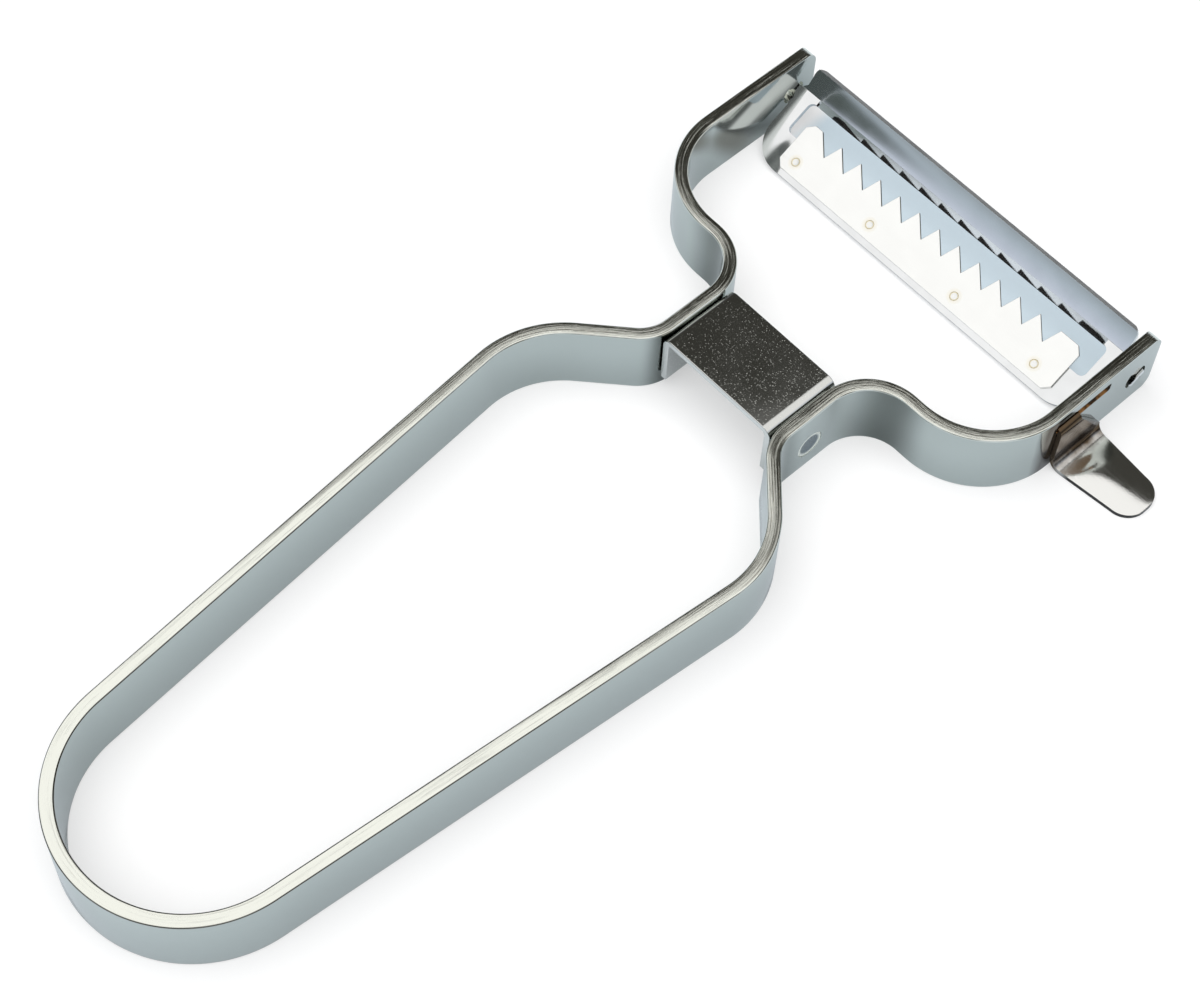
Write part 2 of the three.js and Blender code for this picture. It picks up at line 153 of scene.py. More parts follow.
class StripSizes(bpy.types.PropertyGroup):
    width: length("Width", 10, "Height of the strip as it stands on edge")
    thickness: length("Thickness", 1.7, "Thickness of the strip")
    edge_round: length("Edge Round", 0.22, "Radius along the strip's four long edges")
    butt_radius: length("Butt Radius", 15.2, "Centreline radius of the handle's end")
    handle_flare: angle("Handle Flare", 5.35, "Lean of each handle side away from the middle")
    handle_side: length("Handle Side", 60.3, "Straight run of each handle side")
    shoulder_radius: length("Shoulder Radius", 12.95, "Bend from handle side to taper")
    taper_angle: angle("Taper Angle", 47.1, "Lean of the taper towards the neck")
    taper_length: length("Taper Length", 7, "Straight run of the taper")
    neck_rear_radius: length("Neck Rear Radius", 5.4, "Bend from taper to neck")
    neck_length: length("Neck Length", 7, "Straight run of the neck")
    neck_front_radius: length("Neck Front Radius", 6.6, "Bend from neck to head")
    head_run: length("Head Run", 1.5, "Straight run across the head")
    head_radius: length("Head Radius", 11, "Bend from head to arm")
    arm_length: length("Arm Length", 18, "Straight run of each arm")
    tip_round: length("Tip Round", 1.8, "Corner radius of the arm's end")
    bend_step: angle("Bend Step", 1.5, "Turn between two stations of a bend")
    hole_edge: length("Hole Edge", 0.12, "Rounding of the punched holes and the tips")


class SaddleSizes(bpy.types.PropertyGroup):
    length: length("Length", 10.8, "Length of the saddle along the neck")
    thickness: length("Thickness", 0.9, "Thickness of the sheet")
    bend: length("Bend", 1.4, "Outer radius of the two bends")
    drop: length("Drop", 8, "Height of the flanges")
    gap: length("Gap", 0.05, "Room between flange and neck")
    edge: length("Edge", 0.12, "Rounding of the sheared edges")
    weld_radius: length("Weld Radius", 1.9, "Radius of the weld in each flange")
    weld_height: length("Weld Height", 4.2, "Height of the weld's middle")
    weld_bite: length("Weld Bite", 0.45, "Depth of the weld in the flange")


class BladeSizes(bpy.types.PropertyGroup):
    pivot_from_tip: length("Pivot From Tip", 3.5, "Distance of the pivot from the arm's end")
    pivot_height: length("Pivot Height", 4.65, "Height of the pivot")
    tilt: angle("Tilt", 28, "Lean of the blade at rest")
    tab_width: length("Tab Width", 2.6, "Width of each end tab")
    tab_proud: length("Tab Proud", 0.3, "How far a tab stands out of the arm")
    tab_clearance: length("Tab Clearance", 0.3, "Room over and under the tab")
    tab_end_clearance: length("Tab End Clearance", 0.4, "Room beyond the tab's corners")
    tab_root: length("Tab Root", 0.5, "Corner radius where a tab leaves the tray")
    thickness: length("Thickness", 0.7, "Thickness of the tray's sheet")
    end_gap: length("End Gap", 0.6, "Room between tray and arm")
    rear: length("Rear", 9.1, "Reach of the tray behind the pivot")
    rear_round: length("Rear Round", 4.5, "Corner radius of the tray's rear")
    slot_rear: length("Slot Rear", 4.2, "Rear side of the slot, behind the pivot")
    slot_front: length("Slot Front", 0.55, "Cutting edge, before the pivot")
    slot_end_bridge: length("Slot End Bridge", 2.3, "Sheet left at each end of the slot")
    slot_round: length("Slot Round", 0.8, "Corner radius of the slot")
    bevel_run: length("Bevel Run", 0.82, "Width of the ground cutting bevel")
    wall_start: length("Wall Start", 1.4, "Where the front wall leaves the floor")
    wall_run: length("Wall Run", 3.17, "Reach of the front wall")
    wall_rise: length("Wall Rise", 1.5, "Height of the front wall")
    wall_bend: length("Wall Bend", 0.5, "Radius between floor and wall")
    wall_curl: angle("Wall Curl", 11, "How much the wall steepens towards its top")
    rim_lean: length("Rim Lean", 0.15, "Set-back of the upper corner of the wall's rim")
    wall_end_inset: length("Wall End Inset", 0.5, "How far the wall stops short of the floor's end")
    wall_round: length("Wall Round", 1.2, "Corner radius of the front wall")
    edge: length("Edge", 0.07, "Rounding of the sheet's edges")


class CombSizes(bpy.types.PropertyGroup):
    thickness: length("Thickness", 0.5, "Thickness of the plate")
    gap: length("Gap", 0.05, "Room under the plate")
    rear_margin: length("Rear Margin", 0.8, "Tray left bare behind the plate")
    end_margin: length("End Margin", 4.3, "Tray left bare at each end")
    depth: length("Depth", 6.8, "Depth of the plate, teeth included")
    chamfer: length("Chamfer", 0.9, "Cut at the plate's corners")
    pitch: length("Pitch", 3.38, "Spacing of the teeth")
    tooth_depth: length("Tooth Depth", 2.45, "Depth of the teeth")
    tooth_lead: length("Tooth Lead", 0.9, "Lean of a tooth's steep side")
    end_tooth: length("End Tooth", 4.2, "Width kept for the blunt tooth at each end")
    edge: length("Edge", 0.04, "Rounding of the plate's edges")
    weld_radius: length("Weld Radius", 0.55, "Radius of a spot weld")
    weld_left_margin: length("Weld Left Margin", 2.1, "First weld from the plate's left end")
    weld_right_margin: length("Weld Right Margin", 3.5, "Last weld from the plate's right end")
    weld_from_rear: length("Weld From Rear", 1.7, "Welds from the plate's rear side")
    weld_bite: length("Weld Bite", 0.35, "Depth of a weld in the tray")
    weld_spacing: bpy.props.FloatVectorProperty(
        name="Weld Spacing", description="Place of each weld along the row",
        size=4, default=(0.0, 0.32, 0.675, 1.0), min=0.0, max=1.0)
    weld_clearance: length("Weld Clearance", 0.04, "Room round a weld")


class SpoonSizes(bpy.types.PropertyGroup):
    from_tip: length("From Tip", 13.8, "Middle of the spoon from the arm's end")
    thickness: length("Thickness", 0.6, "Thickness of the sheet")
    gap: length("Gap", 0.05, "Room between flange and arm")
    root_width: length("Root Width", 8.2, "Width where the spoon leaves the arm")
    tip_width: length("Tip Width", 6.4, "Width near the tip")
    reach: length("Reach", 12, "Reach out from the arm")
    tip_round: length("Tip Round", 2.8, "Corner radius of the tip")
    bend: length("Bend", 1.2, "Inner radius of the bend at the foot")
    tab_bend: length("Tab Bend", 0.25, "Inner radius of the bend into the slot")
    tab_width: length("Tab Width", 3.6, "Width of the tab in the slot")
    dome_rise: length("Dome Rise", 0.5, "Height of the spoon's dome")
    dome_reach: length("Dome Reach", 4.7, "Half length of the dome")
    dome_from_arm: length("Dome From Arm", 7.2, "Middle of the dome from the arm")
    slot_height: length("Slot Height", 1.4, "Height of the slot in the arm")
    slot_bottom: length("Slot Bottom", 7.2, "Lower side of the slot")
    slot_end_gap: length("Slot End Gap", 0.3, "Slot beyond the tab, rearwards")
    slot_beyond: length("Slot Beyond", 0.9, "Slot beyond the spoon, forwards")
    seat: length("Seat", 0.05, "Room under the tab")
    edge: length("Edge", 0.12, "Rounding of the sheet's edges")


class PeelerFinishes(bpy.types.PropertyGroup):
    strip_face: colour("Strip Face", "#BBC1BD", "Bright plate on the strip's broad faces")
    strip_edge: colour("Strip Edge", "#F3F4EA", "Ground edge of the strip")
    strip_edge_dark: colour("Strip Edge Dark", "#98958A", "Dark streaks in the ground edge")
    tarnish: colour("Tarnish", "#9A6F42", "Tarnish inside the punched slot")
    # Painted shade: darker colour of the plate in the strip's tight bends
    painted_bend_colour: colour("Strip Dull", "#777C78", "Dull plating in the tight bends")
    # Brown colour along the grip's rounded corners
    grip_corner: colour("Worn Corner", "#514337", "Plating worn to brown along the grip's corners")
    # Dark brown of the tarnish patches in the slot and of the painted reflection on the arm
    dark_tarnish_and_reflection: colour("Heat Stain", "#3C3229", "Heat stain beside the spoon")
    saddle: colour("Saddle", "#DADAD6", "Polished saddle")
    blade: colour("Blade", "#F1F2F2", "Rolled stainless of the tray")
    comb: colour("Comb", "#FEFEFB", "Satin stainless of the comb")
    # Dark sheared sides; on the comb's underside this colour is partly painted shade
    sheared: colour("Sheared", "#3E3C3A", "Dull sheared sides of the sheets")
    weld: colour("Weld", "#F1E5C2", "Straw tint of the spot welds")
    neck_weld: colour("Neck Weld", "#7C858A", "Grey press mark of the neck welds")
    spoon: colour("Spoon", "#F2F1ED", "Stainless of the spoon")
    spoon_root: colour("Spoon Root", "#5E4E3C", "Heat tint at the spoon's root")


class StageSettings(bpy.types.PropertyGroup):
    azimuth: angle("Azimuth", 44.815, "Camera's turn about the upright axis")
    elevation: angle("Elevation", 58.708, "Camera's height above the horizon")
    roll: angle("Roll", 3.197, "Camera's turn about its own axis")
    distance: length("Distance", 300.041, "Camera's distance from its target")
    target: bpy.props.FloatVectorProperty(
        name="Target", description="Point at the middle of the picture", size=3, unit="LENGTH",
        subtype="XYZ", default=(0.177 * MM, 73.159 * MM, 5.0 * MM))
    focal: bpy.props.FloatProperty(
        name="Focal Length", description="Focal length on a 36 mm wide sensor", default=78.58)
    floor_size: length("Floor Size", 12000, "Side of the floor")
    floor: colour("Floor", "#FDFDFD", "Pale floor as the camera sees it")
    paper: colour("Paper", "#C6D1DA", "Blue-grey paper of the floor")
    # Painted shade: the floor's colour to the camera in a box under the blade
    shade: colour("Shade", "#D6E5EE", "Floor in the blade's shade as the camera sees it")
    shadow_lift: share("Shadow Lift", 0.45, "How far the shadow on the pale floor is lightened")
    floor_in_metal: share("Floor In Metal", 0.2, "How much of the pale floor shows in bright metal")
    lamp_power: bpy.props.FloatProperty(
        name="Lamp Power", description="Power of the overhead softbox", default=9.0, unit="POWER")
    lamp_size: length("Lamp Size", 1300, "Side of the overhead softbox")
    lamp_height: length("Lamp Height", 1000, "Height of the overhead softbox")


# Meshes: outlines run along an axis, cut, joined, rounded


def along_x(u, v, w):
    return (w, u, v)


def along_y(u, v, w):
    return (u, w, v)


def along_z(u, v, w):
    return (u, v, w)


def mesh_object(name, points, faces):
    mesh = bpy.data.meshes.new(name)
    mesh.from_pydata([tuple(p) for p in points], [], faces)
    shape = bmesh.new()
    shape.from_mesh(mesh)
    bmesh.ops.recalc_face_normals(shape, faces=shape.faces)
    shape.to_mesh(mesh)
    shape.free()
    piece = bpy.data.objects.new(name, mesh)
    bpy.context.scene.collection.objects.link(piece)
    return piece


def prism(name, outline, axis, low, high):
    """Solid whose outline is run along one axis from low to high."""
    count = len(outline)
    points = [axis(u, v, low) for u, v in outline] + [axis(u, v, high) for u, v in outline]
    sides = [(i, (i + 1) % count, count + (i + 1) % count, count + i) for i in range(count)]
    ends = [tuple(range(count)), tuple(range(count, 2 * count))]
    return mesh_object(name, points, sides + ends)


def arc(x, y, radius, start, end, steps):
    turns = [start + (end - start) * i / steps for i in range(steps + 1)]
    return [(x + radius * math.cos(a), y + radius * math.sin(a)) for a in turns]


def mirrored(points):
    return [(-x, y) for x, y in reversed(points)]


def ring(x, y, radius, steps=48):
    return arc(x, y, radius, 0, 2 * math.pi, steps)[:-1]


def settle(piece):
    """Makes the evaluated shape the piece's own mesh and drops its modifiers."""
    evaluated = piece.evaluated_get(bpy.context.evaluated_depsgraph_get())
    mesh = bpy.data.meshes.new_from_object(evaluated)
    piece.modifiers.clear()
    if piece.type == "CURVE":
        solid = bpy.data.objects.new(piece.name + "_mesh", mesh)
        bpy.context.scene.collection.objects.link(solid)
        bpy.data.objects.remove(piece)
        return solid
    piece.data = mesh
    return piece


def carve(piece, cutter, operation="DIFFERENCE"):
    tool = piece.modifiers.new("carve", "BOOLEAN")
    tool.object = cutter
    tool.operation = operation
    tool.solver = "EXACT"
    settle(piece)
    bpy.data.objects.remove(cutter)
    if not piece.data.polygons:
        raise RuntimeError(f"{piece.name}: nothing left after a cut")


def round_edges(piece, width, limit=math.radians(50), segments=3):
    """Rounds the sheared edges and leaves bends smooth."""
    for face in piece.data.polygons:
        face.use_smooth = True
    bevel = piece.modifiers.new("edges", "BEVEL")
    bevel.width = width
    bevel.segments = segments
    bevel.limit_method = "ANGLE"
    bevel.angle_limit = limit
    bevel.harden_normals = True
    bevel.miter_outer = "MITER_ARC"
    settle(piece)


def finish_piece(piece, name, material, body, slot, *nodes):
    """Names a finished piece, gives it its finish, ties it to its body and hides the imported parts
    that it replaces.
    """
    piece.name = name
    piece.data.name = name
    piece.data.materials.clear()
    piece.data.materials.append(material)
    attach(piece, body)
    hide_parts(*nodes)


# Layout: where the strip's walk leaves the neck, the arms and the pivot


def strip_stations(strip):
    """Right half of the strip's centreline, butt to tip: x, y and heading."""
    stations = [(0.0, 0.0, 0.0)]

    def run(distance):
        x, y, heading = stations[-1]
        ahead = (x + distance * math.cos(heading), y + distance * math.sin(heading))
        stations.append((*ahead, heading))

    def bend(radius, turn):
        x, y, heading = stations[-1]
        side = math.copysign(radius, turn)
        centre = (x - side * math.sin(heading), y + side * math.cos(heading))
        steps = math.ceil(abs(turn) / strip.bend_step)
        for i in range(1, steps + 1):
            a = heading + turn * i / steps
            stations.append((centre[0] + side * math.sin(a), centre[1] - side * math.cos(a), a))

    bend(strip.butt_radius, math.pi / 2 - strip.handle_flare)
    run(strip.handle_side)
    bend(strip.shoulder_radius, strip.handle_flare + strip.taper_angle)
    run(strip.taper_length)
    bend(strip.neck_rear_radius, -strip.taper_angle)
    run(strip.neck_length / 2)
    neck = stations[-1]
    run(strip.neck_length / 2)
    bend(strip.neck_front_radius, -math.pi / 2)
    run(strip.head_run)
    bend(strip.head_radius, math.pi / 2)
    run(strip.arm_length)
    return stations, neck


class Layout:
    """Places that several pieces share, worked out from the sizes."""

    def __init__(self, scene):
        strip, saddle = scene.peeler_strip, scene.peeler_saddle
        blade, comb, spoon = scene.peeler_blade, scene.peeler_comb, scene.peeler_spoon
        self.stations, neck = strip_stations(strip)
        half = strip.thickness / 2
        self.neck_y = neck[1]
        self.neck_inner, self.neck_outer = neck[0] - half, neck[0] + half
        self.tip_y = self.stations[-1][1]
        self.arm_inner = self.stations[-1][0] - half
        self.arm_outer = self.stations[-1][0] + half
        self.saddle_side = self.neck_inner - saddle.gap
        self.pivot_y = self.tip_y - blade.pivot_from_tip
        self.tray_half = self.arm_inner - blade.end_gap
        self.slot_half = self.tray_half - blade.slot_end_bridge
        self.floor_top = blade.thickness / 2
        self.comb_half = self.tray_half - comb.end_margin
        self.comb_rear = comb.rear_margin - blade.rear
        self.comb_front = self.comb_rear + comb.depth
        self.comb_under = self.floor_top + comb.gap
        self.comb_top = self.comb_under + comb.thickness
        row = 2 * self.comb_half - comb.weld_left_margin - comb.weld_right_margin
        self.comb_weld_x = [
            comb.weld_left_margin - self.comb_half + s * row for s in comb.weld_spacing]
        self.comb_weld_y = self.comb_rear + comb.weld_from_rear
        self.eye_y = self.tip_y - spoon.from_tip
        self.eye_rear = self.eye_y - spoon.root_width / 2
        self.eye_face = self.arm_outer + spoon.gap
        self.eye_tip = self.arm_outer + spoon.reach
        self.eye_slot = (
            (self.eye_rear - spoon.slot_end_gap,
             self.eye_y + spoon.root_width / 2 + spoon.slot_beyond),
            (spoon.slot_bottom, spoon.slot_bottom + spoon.slot_height))
        self.shaded_bends = [
            (side * x * MM, y * MM, inner * MM, outer * MM)
            for side in (-1, 1) for x, y, inner, outer in SHADED_BENDS]
        self.blade_place = (
            Matrix.Translation((0, self.pivot_y, blade.pivot_height))
            @ Matrix.Rotation(blade.tilt, 4, "X"))
        turn = self.blade_place.to_3x3()
        self.blade_forward, self.blade_up = turn @ Vector((0, 1, 0)), turn @ Vector((0, 0, 1))


# Materials

# Kinds of node that are fed in the order of their inputs: a place, scale, detail and roughness
# for noise, a value and its two ranges, the factor before the two things that it mixes
MATH, VECTOR, MIX = "ShaderNodeMath", "ShaderNodeVectorMath", "ShaderNodeMix"
RANGE, NOISE, BUMP = "ShaderNodeMapRange", "ShaderNodeTexNoise", "ShaderNodeBump"
SPLIT, JOIN, STORED = "ShaderNodeSeparateXYZ", "ShaderNodeCombineXYZ", "ShaderNodeAttribute"


def feed(node, values):
    """Gives a node's live inputs, in order or by name, a value or a link."""
    live = [socket for socket in node.inputs if socket.enabled]
    for key, value in values.items() if isinstance(values, dict) else enumerate(values):
        socket = live[key] if isinstance(key, int) else node.inputs[key]
        if isinstance(value, bpy.types.Node):
            value = next(output for output in value.outputs if output.enabled)
        if isinstance(value, bpy.types.NodeSocket):
            node.id_data.links.new(value, socket)
        elif socket.type == "RGBA":
            socket.default_value = (*value, 1.0)
        else:
            socket.default_value = value


def add(tree, kind, values=(), **settings):
    """Adds a node, sets its options, and feeds its inputs."""
    node = tree.nodes.new(kind)
    for option, value in settings.items():
        setattr(node, option, value)
    feed(node, values)
    return node


def start_material(name):
    """Metal by default, with the sockets of a point's place and facing on its piece."""
    material = bpy.data.materials.get(name)
    if material:
        bpy.data.materials.remove(material)
    material = bpy.data.materials.new(name)
    material.use_nodes = True
    tree = material.node_tree
    tree.nodes.clear()
    shader = add(tree, "ShaderNodeBsdfPrincipled", {"Metallic": 1.0})
    add(tree, "ShaderNodeOutputMaterial", {"Surface": shader})
    place = add(tree, "ShaderNodeTexCoord")
    return material, tree, shader, place.outputs["Object"], place.outputs["Normal"]


def per(*millimetres):
    """Scale at which one cell of a pattern is this long, or this long along x, y and z."""
    scales = tuple(1 / (size * MM) for size in millimetres)
    return scales if len(scales) > 1 else scales[0]


def clouded(tree, cloud, tint, kept):
    """Colour that a noise dulls in patches, down to the kept share of it."""
    worn = add(tree, RANGE, (cloud, 0.35, 0.65))
    return add(tree, MIX, (worn, [kept * part for part in tint], tint), data_type="RGBA")


def plated_strip(finishes, layout):
    # Bright-plated cold-rolled steel strip. Its broad faces are a soft mirror with faint
    # draw lines along the strip. Its narrow edges are linished, so they scatter light into
    # fine lengthwise streaks, drawn at 0.16 mm because the real ones are too fine to show.
    material, tree, shader, spot, normal = start_material("bright_plated_steel_strip")
    x, y, z = add(tree, SPLIT, (spot,)).outputs
    along, across = [
        add(tree, STORED, attribute_name=name).outputs["Fac"] for name in ("along", "across")]
    flow = add(tree, JOIN, (along, across, z))
    streaks = add(tree, VECTOR, (flow, per(7.0, 0.16, 0.16)), operation="MULTIPLY")
    brush = add(tree, NOISE, (streaks, 1.0, 3.0, 0.6))
    drawn = add(tree, VECTOR, (flow, per(40.0, 0.5, 0.5)), operation="MULTIPLY")
    lines = add(tree, NOISE, (drawn, 1.0, 2.0))
    cloud = add(tree, NOISE, (spot, per(9.0), 2.0))
    side, _, up = add(tree, SPLIT, (normal,)).outputs
    steep = add(tree, MATH, (up,), operation="ABSOLUTE")
    edge = add(tree, RANGE, (steep, 0.75, 0.95))

    # The edge is smooth round the grip and more coarsely linished from the shoulders on
    coarse = add(tree, RANGE, (y, *COARSE_EDGE))
    streak = add(tree, RANGE, (brush, 0.32, 0.52))
    streak_dark = add(
        tree, MIX, (coarse, finishes.strip_edge, finishes.strip_edge_dark), data_type="RGBA")
    edge_tone = add(tree, MIX, (streak, streak_dark, finishes.strip_edge), data_type="RGBA")

    # Painted shade: the tight bends take a darker colour, for the shaded floor that they reflect
    plan = add(tree, JOIN, (x, y))
    shade_masks = []
    for bend_x, bend_y, inner, outer in layout.shaded_bends:
        gap = add(tree, VECTOR, (plan, (bend_x, bend_y, 0.0)), operation="DISTANCE")
        shade_masks.append(add(tree, RANGE, (gap, outer, inner), interpolation_type="SMOOTHSTEP"))
    bend_shade = reduce(lambda a, b: add(tree, MATH, (a, b), operation="MAXIMUM"), shade_masks)
    face = add(tree, MIX, (bend_shade, finishes.strip_face, finishes.painted_bend_colour), data_type="RGBA")
    flat = add(tree, MIX, (edge, face, edge_tone), data_type="RGBA")

    # The rounded corners are brown on the grip, and from the shoulders on they take the edge's
    # bright colour as a painted highlight
    corner_in = add(tree, RANGE, (steep, 0.12, 0.35))
    corner_out = add(tree, RANGE, (steep, 0.94, 0.8, 0.0, 0.8))
    corner = add(tree, MATH, (corner_in, corner_out), operation="MULTIPLY")
    corner_tone = add(
        tree, MIX, (coarse, finishes.grip_corner, finishes.strip_edge), data_type="RGBA")
    plate = add(tree, MIX, (corner, flat, corner_tone), data_type="RGBA")

    # Tarnish lies in patches on the cut walls of the slot in the arm
    facing = add(tree, MATH, (side,), operation="ABSOLUTE")
    inside = add(tree, RANGE, (facing, 0.85, 0.3))
    for place, ends, room in zip((y, z), layout.eye_slot, TARNISH_ROOM):
        for limit, test in ((ends[0] - room, "GREATER_THAN"), (ends[1] + room, "LESS_THAN")):
            within = add(tree, MATH, (place, limit), operation=test)
            inside = add(tree, MATH, (inside, within), operation="MULTIPLY")
    patches = add(tree, NOISE, (spot, per(1.6), 2.0))
    patch = add(tree, RANGE, (patches, 0.42, 0.55))
    tarnish = add(tree, MIX, (patch, finishes.dark_tarnish_and_reflection, finishes.tarnish), data_type="RGBA")
    tinted = add(tree, MIX, (inside, plate, tarnish), data_type="RGBA")

    # Painted reflection: the arm's broad faces beside the spoon take a dark brown patch for the
    # spoon's brown root reflected there
    beside = add(tree, MATH, (y, layout.eye_rear - REFLECTION_BEHIND), operation="SUBTRACT")
    apart = add(tree, MATH, (beside,), operation="ABSOLUTE")
    uneven = add(tree, MATH, (cloud, REFLECTION_WANDER, apart), operation="MULTIPLY_ADD")
    brown_mask = add(tree, RANGE, (uneven, *REFLECTION_FADE, 0.0, 0.95))
    arm = add(tree, MATH, (x, layout.arm_outer - REFLECTION_DEPTH), operation="GREATER_THAN")
    broad = add(tree, RANGE, (steep, 0.5, 0.2))
    reflection_mask = reduce(
        lambda a, b: add(tree, MATH, (a, b), operation="MULTIPLY"), (brown_mask, arm, broad))
    reflected_tone = add(tree, MIX, (reflection_mask, tinted, finishes.dark_tarnish_and_reflection), data_type="RGBA")
    bare = add(tree, MATH, (1.0, inside), operation="SUBTRACT")

    soft = add(tree, RANGE, (cloud, 0.3, 0.7, 0.07, 0.13))
    rough = add(tree, RANGE, (brush, 0.48, 0.72, 0.08, 0.42))
    polish = add(tree, MIX, (edge, soft, rough))
    faint = add(tree, MATH, (lines, 0.04), operation="MULTIPLY")
    relief = add(tree, MIX, (edge, faint, brush))
    depth = add(tree, RANGE, (coarse, 0.0, 1.0, 0.15, 0.95))
    bump = add(tree, BUMP, {"Strength": depth, "Distance": 0.03 * MM, "Height": relief})
    feed(shader, {"Base Color": reflected_tone, "Metallic": bare, "Roughness": polish, "Normal": bump})
    return material


def polished_saddle(finishes):
    # Polished plated sheet: a near mirror with handling dust, drawn as specks in 0.2 mm cells
    # because real dust is finer than a pixel.
    material, tree, shader, spot, _ = start_material("polished_plated_saddle")
    cells = add(tree, "ShaderNodeTexVoronoi", {"Vector": spot, "Scale": per(0.2)})
    dot = add(tree, RANGE, (cells.outputs["Distance"], 0.4, 0.22))
    chance = add(tree, "ShaderNodeSeparateColor", (cells.outputs["Color"],))
    strength = add(tree, RANGE, (chance, 0.4, 1.0, 0.0, 0.75))
    speck = add(tree, MATH, (dot, strength), operation="MULTIPLY")
    cloud = add(tree, NOISE, (spot, per(4.0), 2.0))
    rough = add(tree, RANGE, (cloud, 0.3, 0.7, 0.07, 0.1))
    dusty = add(tree, MATH, (speck, 0.3, rough), operation="MULTIPLY_ADD")
    tone = add(tree, MIX, (speck, finishes.saddle, finishes.strip_edge), data_type="RGBA")
    bump = add(tree, BUMP, {"Strength": 0.1, "Distance": 0.02 * MM, "Height": speck})
    feed(shader, {"Base Color": tone, "Roughness": dusty, "Normal": bump})
    return material


def blade_steel(finishes, layout):
    # Bright rolled stainless: a mirror that is clouded a little, in patches of about 3 mm.
    material, tree, shader, spot, normal = start_material("bright_rolled_stainless")
    cloud = add(tree, NOISE, (spot, per(3.0), 2.0))
    tone = clouded(tree, cloud, finishes.blade, 0.94)
    rough = add(tree, RANGE, (cloud, 0.3, 0.7, 0.06, 0.1))
    # The sheared rim of the front wall is matt
    forward = add(tree, VECTOR, (normal, layout.blade_forward), operation="DOT_PRODUCT")
    rim = add(tree, RANGE, (forward, 0.1, 0.35, 0.0, 0.4))
    matt = add(tree, MATH, (rough, rim), operation="ADD")
    # The punch has pressed a faint hollow across the floor beside each tab
    x = add(tree, SPLIT, (spot,)).outputs[0]
    out = add(tree, MATH, (x,), operation="ABSOLUTE")
    deepest = layout.tray_half - HOLLOW_LINE
    slopes = [
        add(tree, RANGE, (out, layout.tray_half + end, deepest), interpolation_type="SMOOTHSTEP")
        for end in HOLLOW_ENDS]
    upward = add(tree, VECTOR, (normal, layout.blade_up), operation="DOT_PRODUCT")
    level = add(tree, RANGE, (upward, 0.94, 0.98))
    hollow = reduce(
        lambda a, b: add(tree, MATH, (a, b), operation="MULTIPLY"), (*slopes, level))
    bump = add(
        tree, BUMP, {"Strength": 1.0, "Distance": HOLLOW_DEPTH, "Height": hollow}, invert=True)
    feed(shader, {"Base Color": tone, "Roughness": matt, "Normal": bump})
    return material


def comb_steel(finishes, layout):
    # Ground stainless plate: satin, with a fine grain along the row of teeth, drawn at
    # 0.14 mm so that it shows, and a slight cloudiness from cleaning. The sheared teeth are dull
    # and dark; the underside takes the same dark colour, partly for its unground sheet and partly
    # as painted shade under the plate. A straw tint lies round each weld.
    material, tree, shader, spot, normal = start_material("satin_ground_stainless")
    cells = add(tree, VECTOR, (spot, per(5.0, 0.14, 0.14)), operation="MULTIPLY")
    grain = add(tree, NOISE, (cells, 1.0, 2.0))
    rough = add(tree, RANGE, (grain, 0.3, 0.7, 0.18, 0.26))
    tone = clouded(tree, add(tree, NOISE, (spot, per(3.5), 3.0)), finishes.comb, 0.98)
    gaps = []
    for x in layout.comb_weld_x:
        weld = layout.blade_place @ Vector((x, layout.comb_weld_y, layout.comb_top))
        gaps.append(add(tree, VECTOR, (spot, weld), operation="DISTANCE"))
    nearest = reduce(lambda a, b: add(tree, MATH, (a, b), operation="MINIMUM"), gaps)
    halo = add(tree, RANGE, (nearest, *HALO_FADE, 0.0, 0.45))
    straw = add(tree, MIX, (halo, tone, finishes.weld), data_type="RGBA")
    upward = add(tree, VECTOR, (normal, layout.blade_up), operation="DOT_PRODUCT")
    forward = add(tree, VECTOR, (normal, layout.blade_forward), operation="DOT_PRODUCT")
    toothed = add(tree, RANGE, (forward, 0.15, 0.3))
    # Painted shade in part: the underside is darkened along with the sheared sides
    under = add(tree, RANGE, (upward, -0.3, -0.5))
    cut_and_underside = add(tree, MATH, (toothed, under), operation="MAXIMUM")
    from_weld = add(tree, RANGE, (nearest, *SHEARED_FADE))
    sheared = add(tree, MATH, (cut_and_underside, from_weld), operation="MULTIPLY")
    cut = add(tree, MIX, (sheared, straw, finishes.sheared), data_type="RGBA")
    coarse = add(tree, MATH, (sheared, 0.35, rough), operation="MULTIPLY_ADD")
    bump = add(tree, BUMP, {"Strength": 0.08, "Distance": 0.02 * MM, "Height": grain})
    feed(shader, {"Base Color": cut, "Roughness": coarse, "Normal": bump})
    return material


def weld_mark(name, tint, edge):
    # Spot weld: dished, duller than the sheet round it, with a rim in a colour of its own: straw
    # where the heat has tinted it, and on the neck welds a painted highlight in the strip's
    # bright edge colour.
    material, tree, shader, spot, _ = start_material(name)
    slag = add(tree, NOISE, (spot, per(0.4), 3.0))
    rough = add(tree, RANGE, (slag, 0.3, 0.7, 0.24, 0.4))
    rim = add(tree, STORED, attribute_name="rim")
    tone = clouded(tree, slag, tint, 0.93)
    ringed = add(tree, MIX, (rim.outputs["Fac"], tone, edge), data_type="RGBA")
    feed(shader, {"Base Color": ringed, "Roughness": rough})
    return material


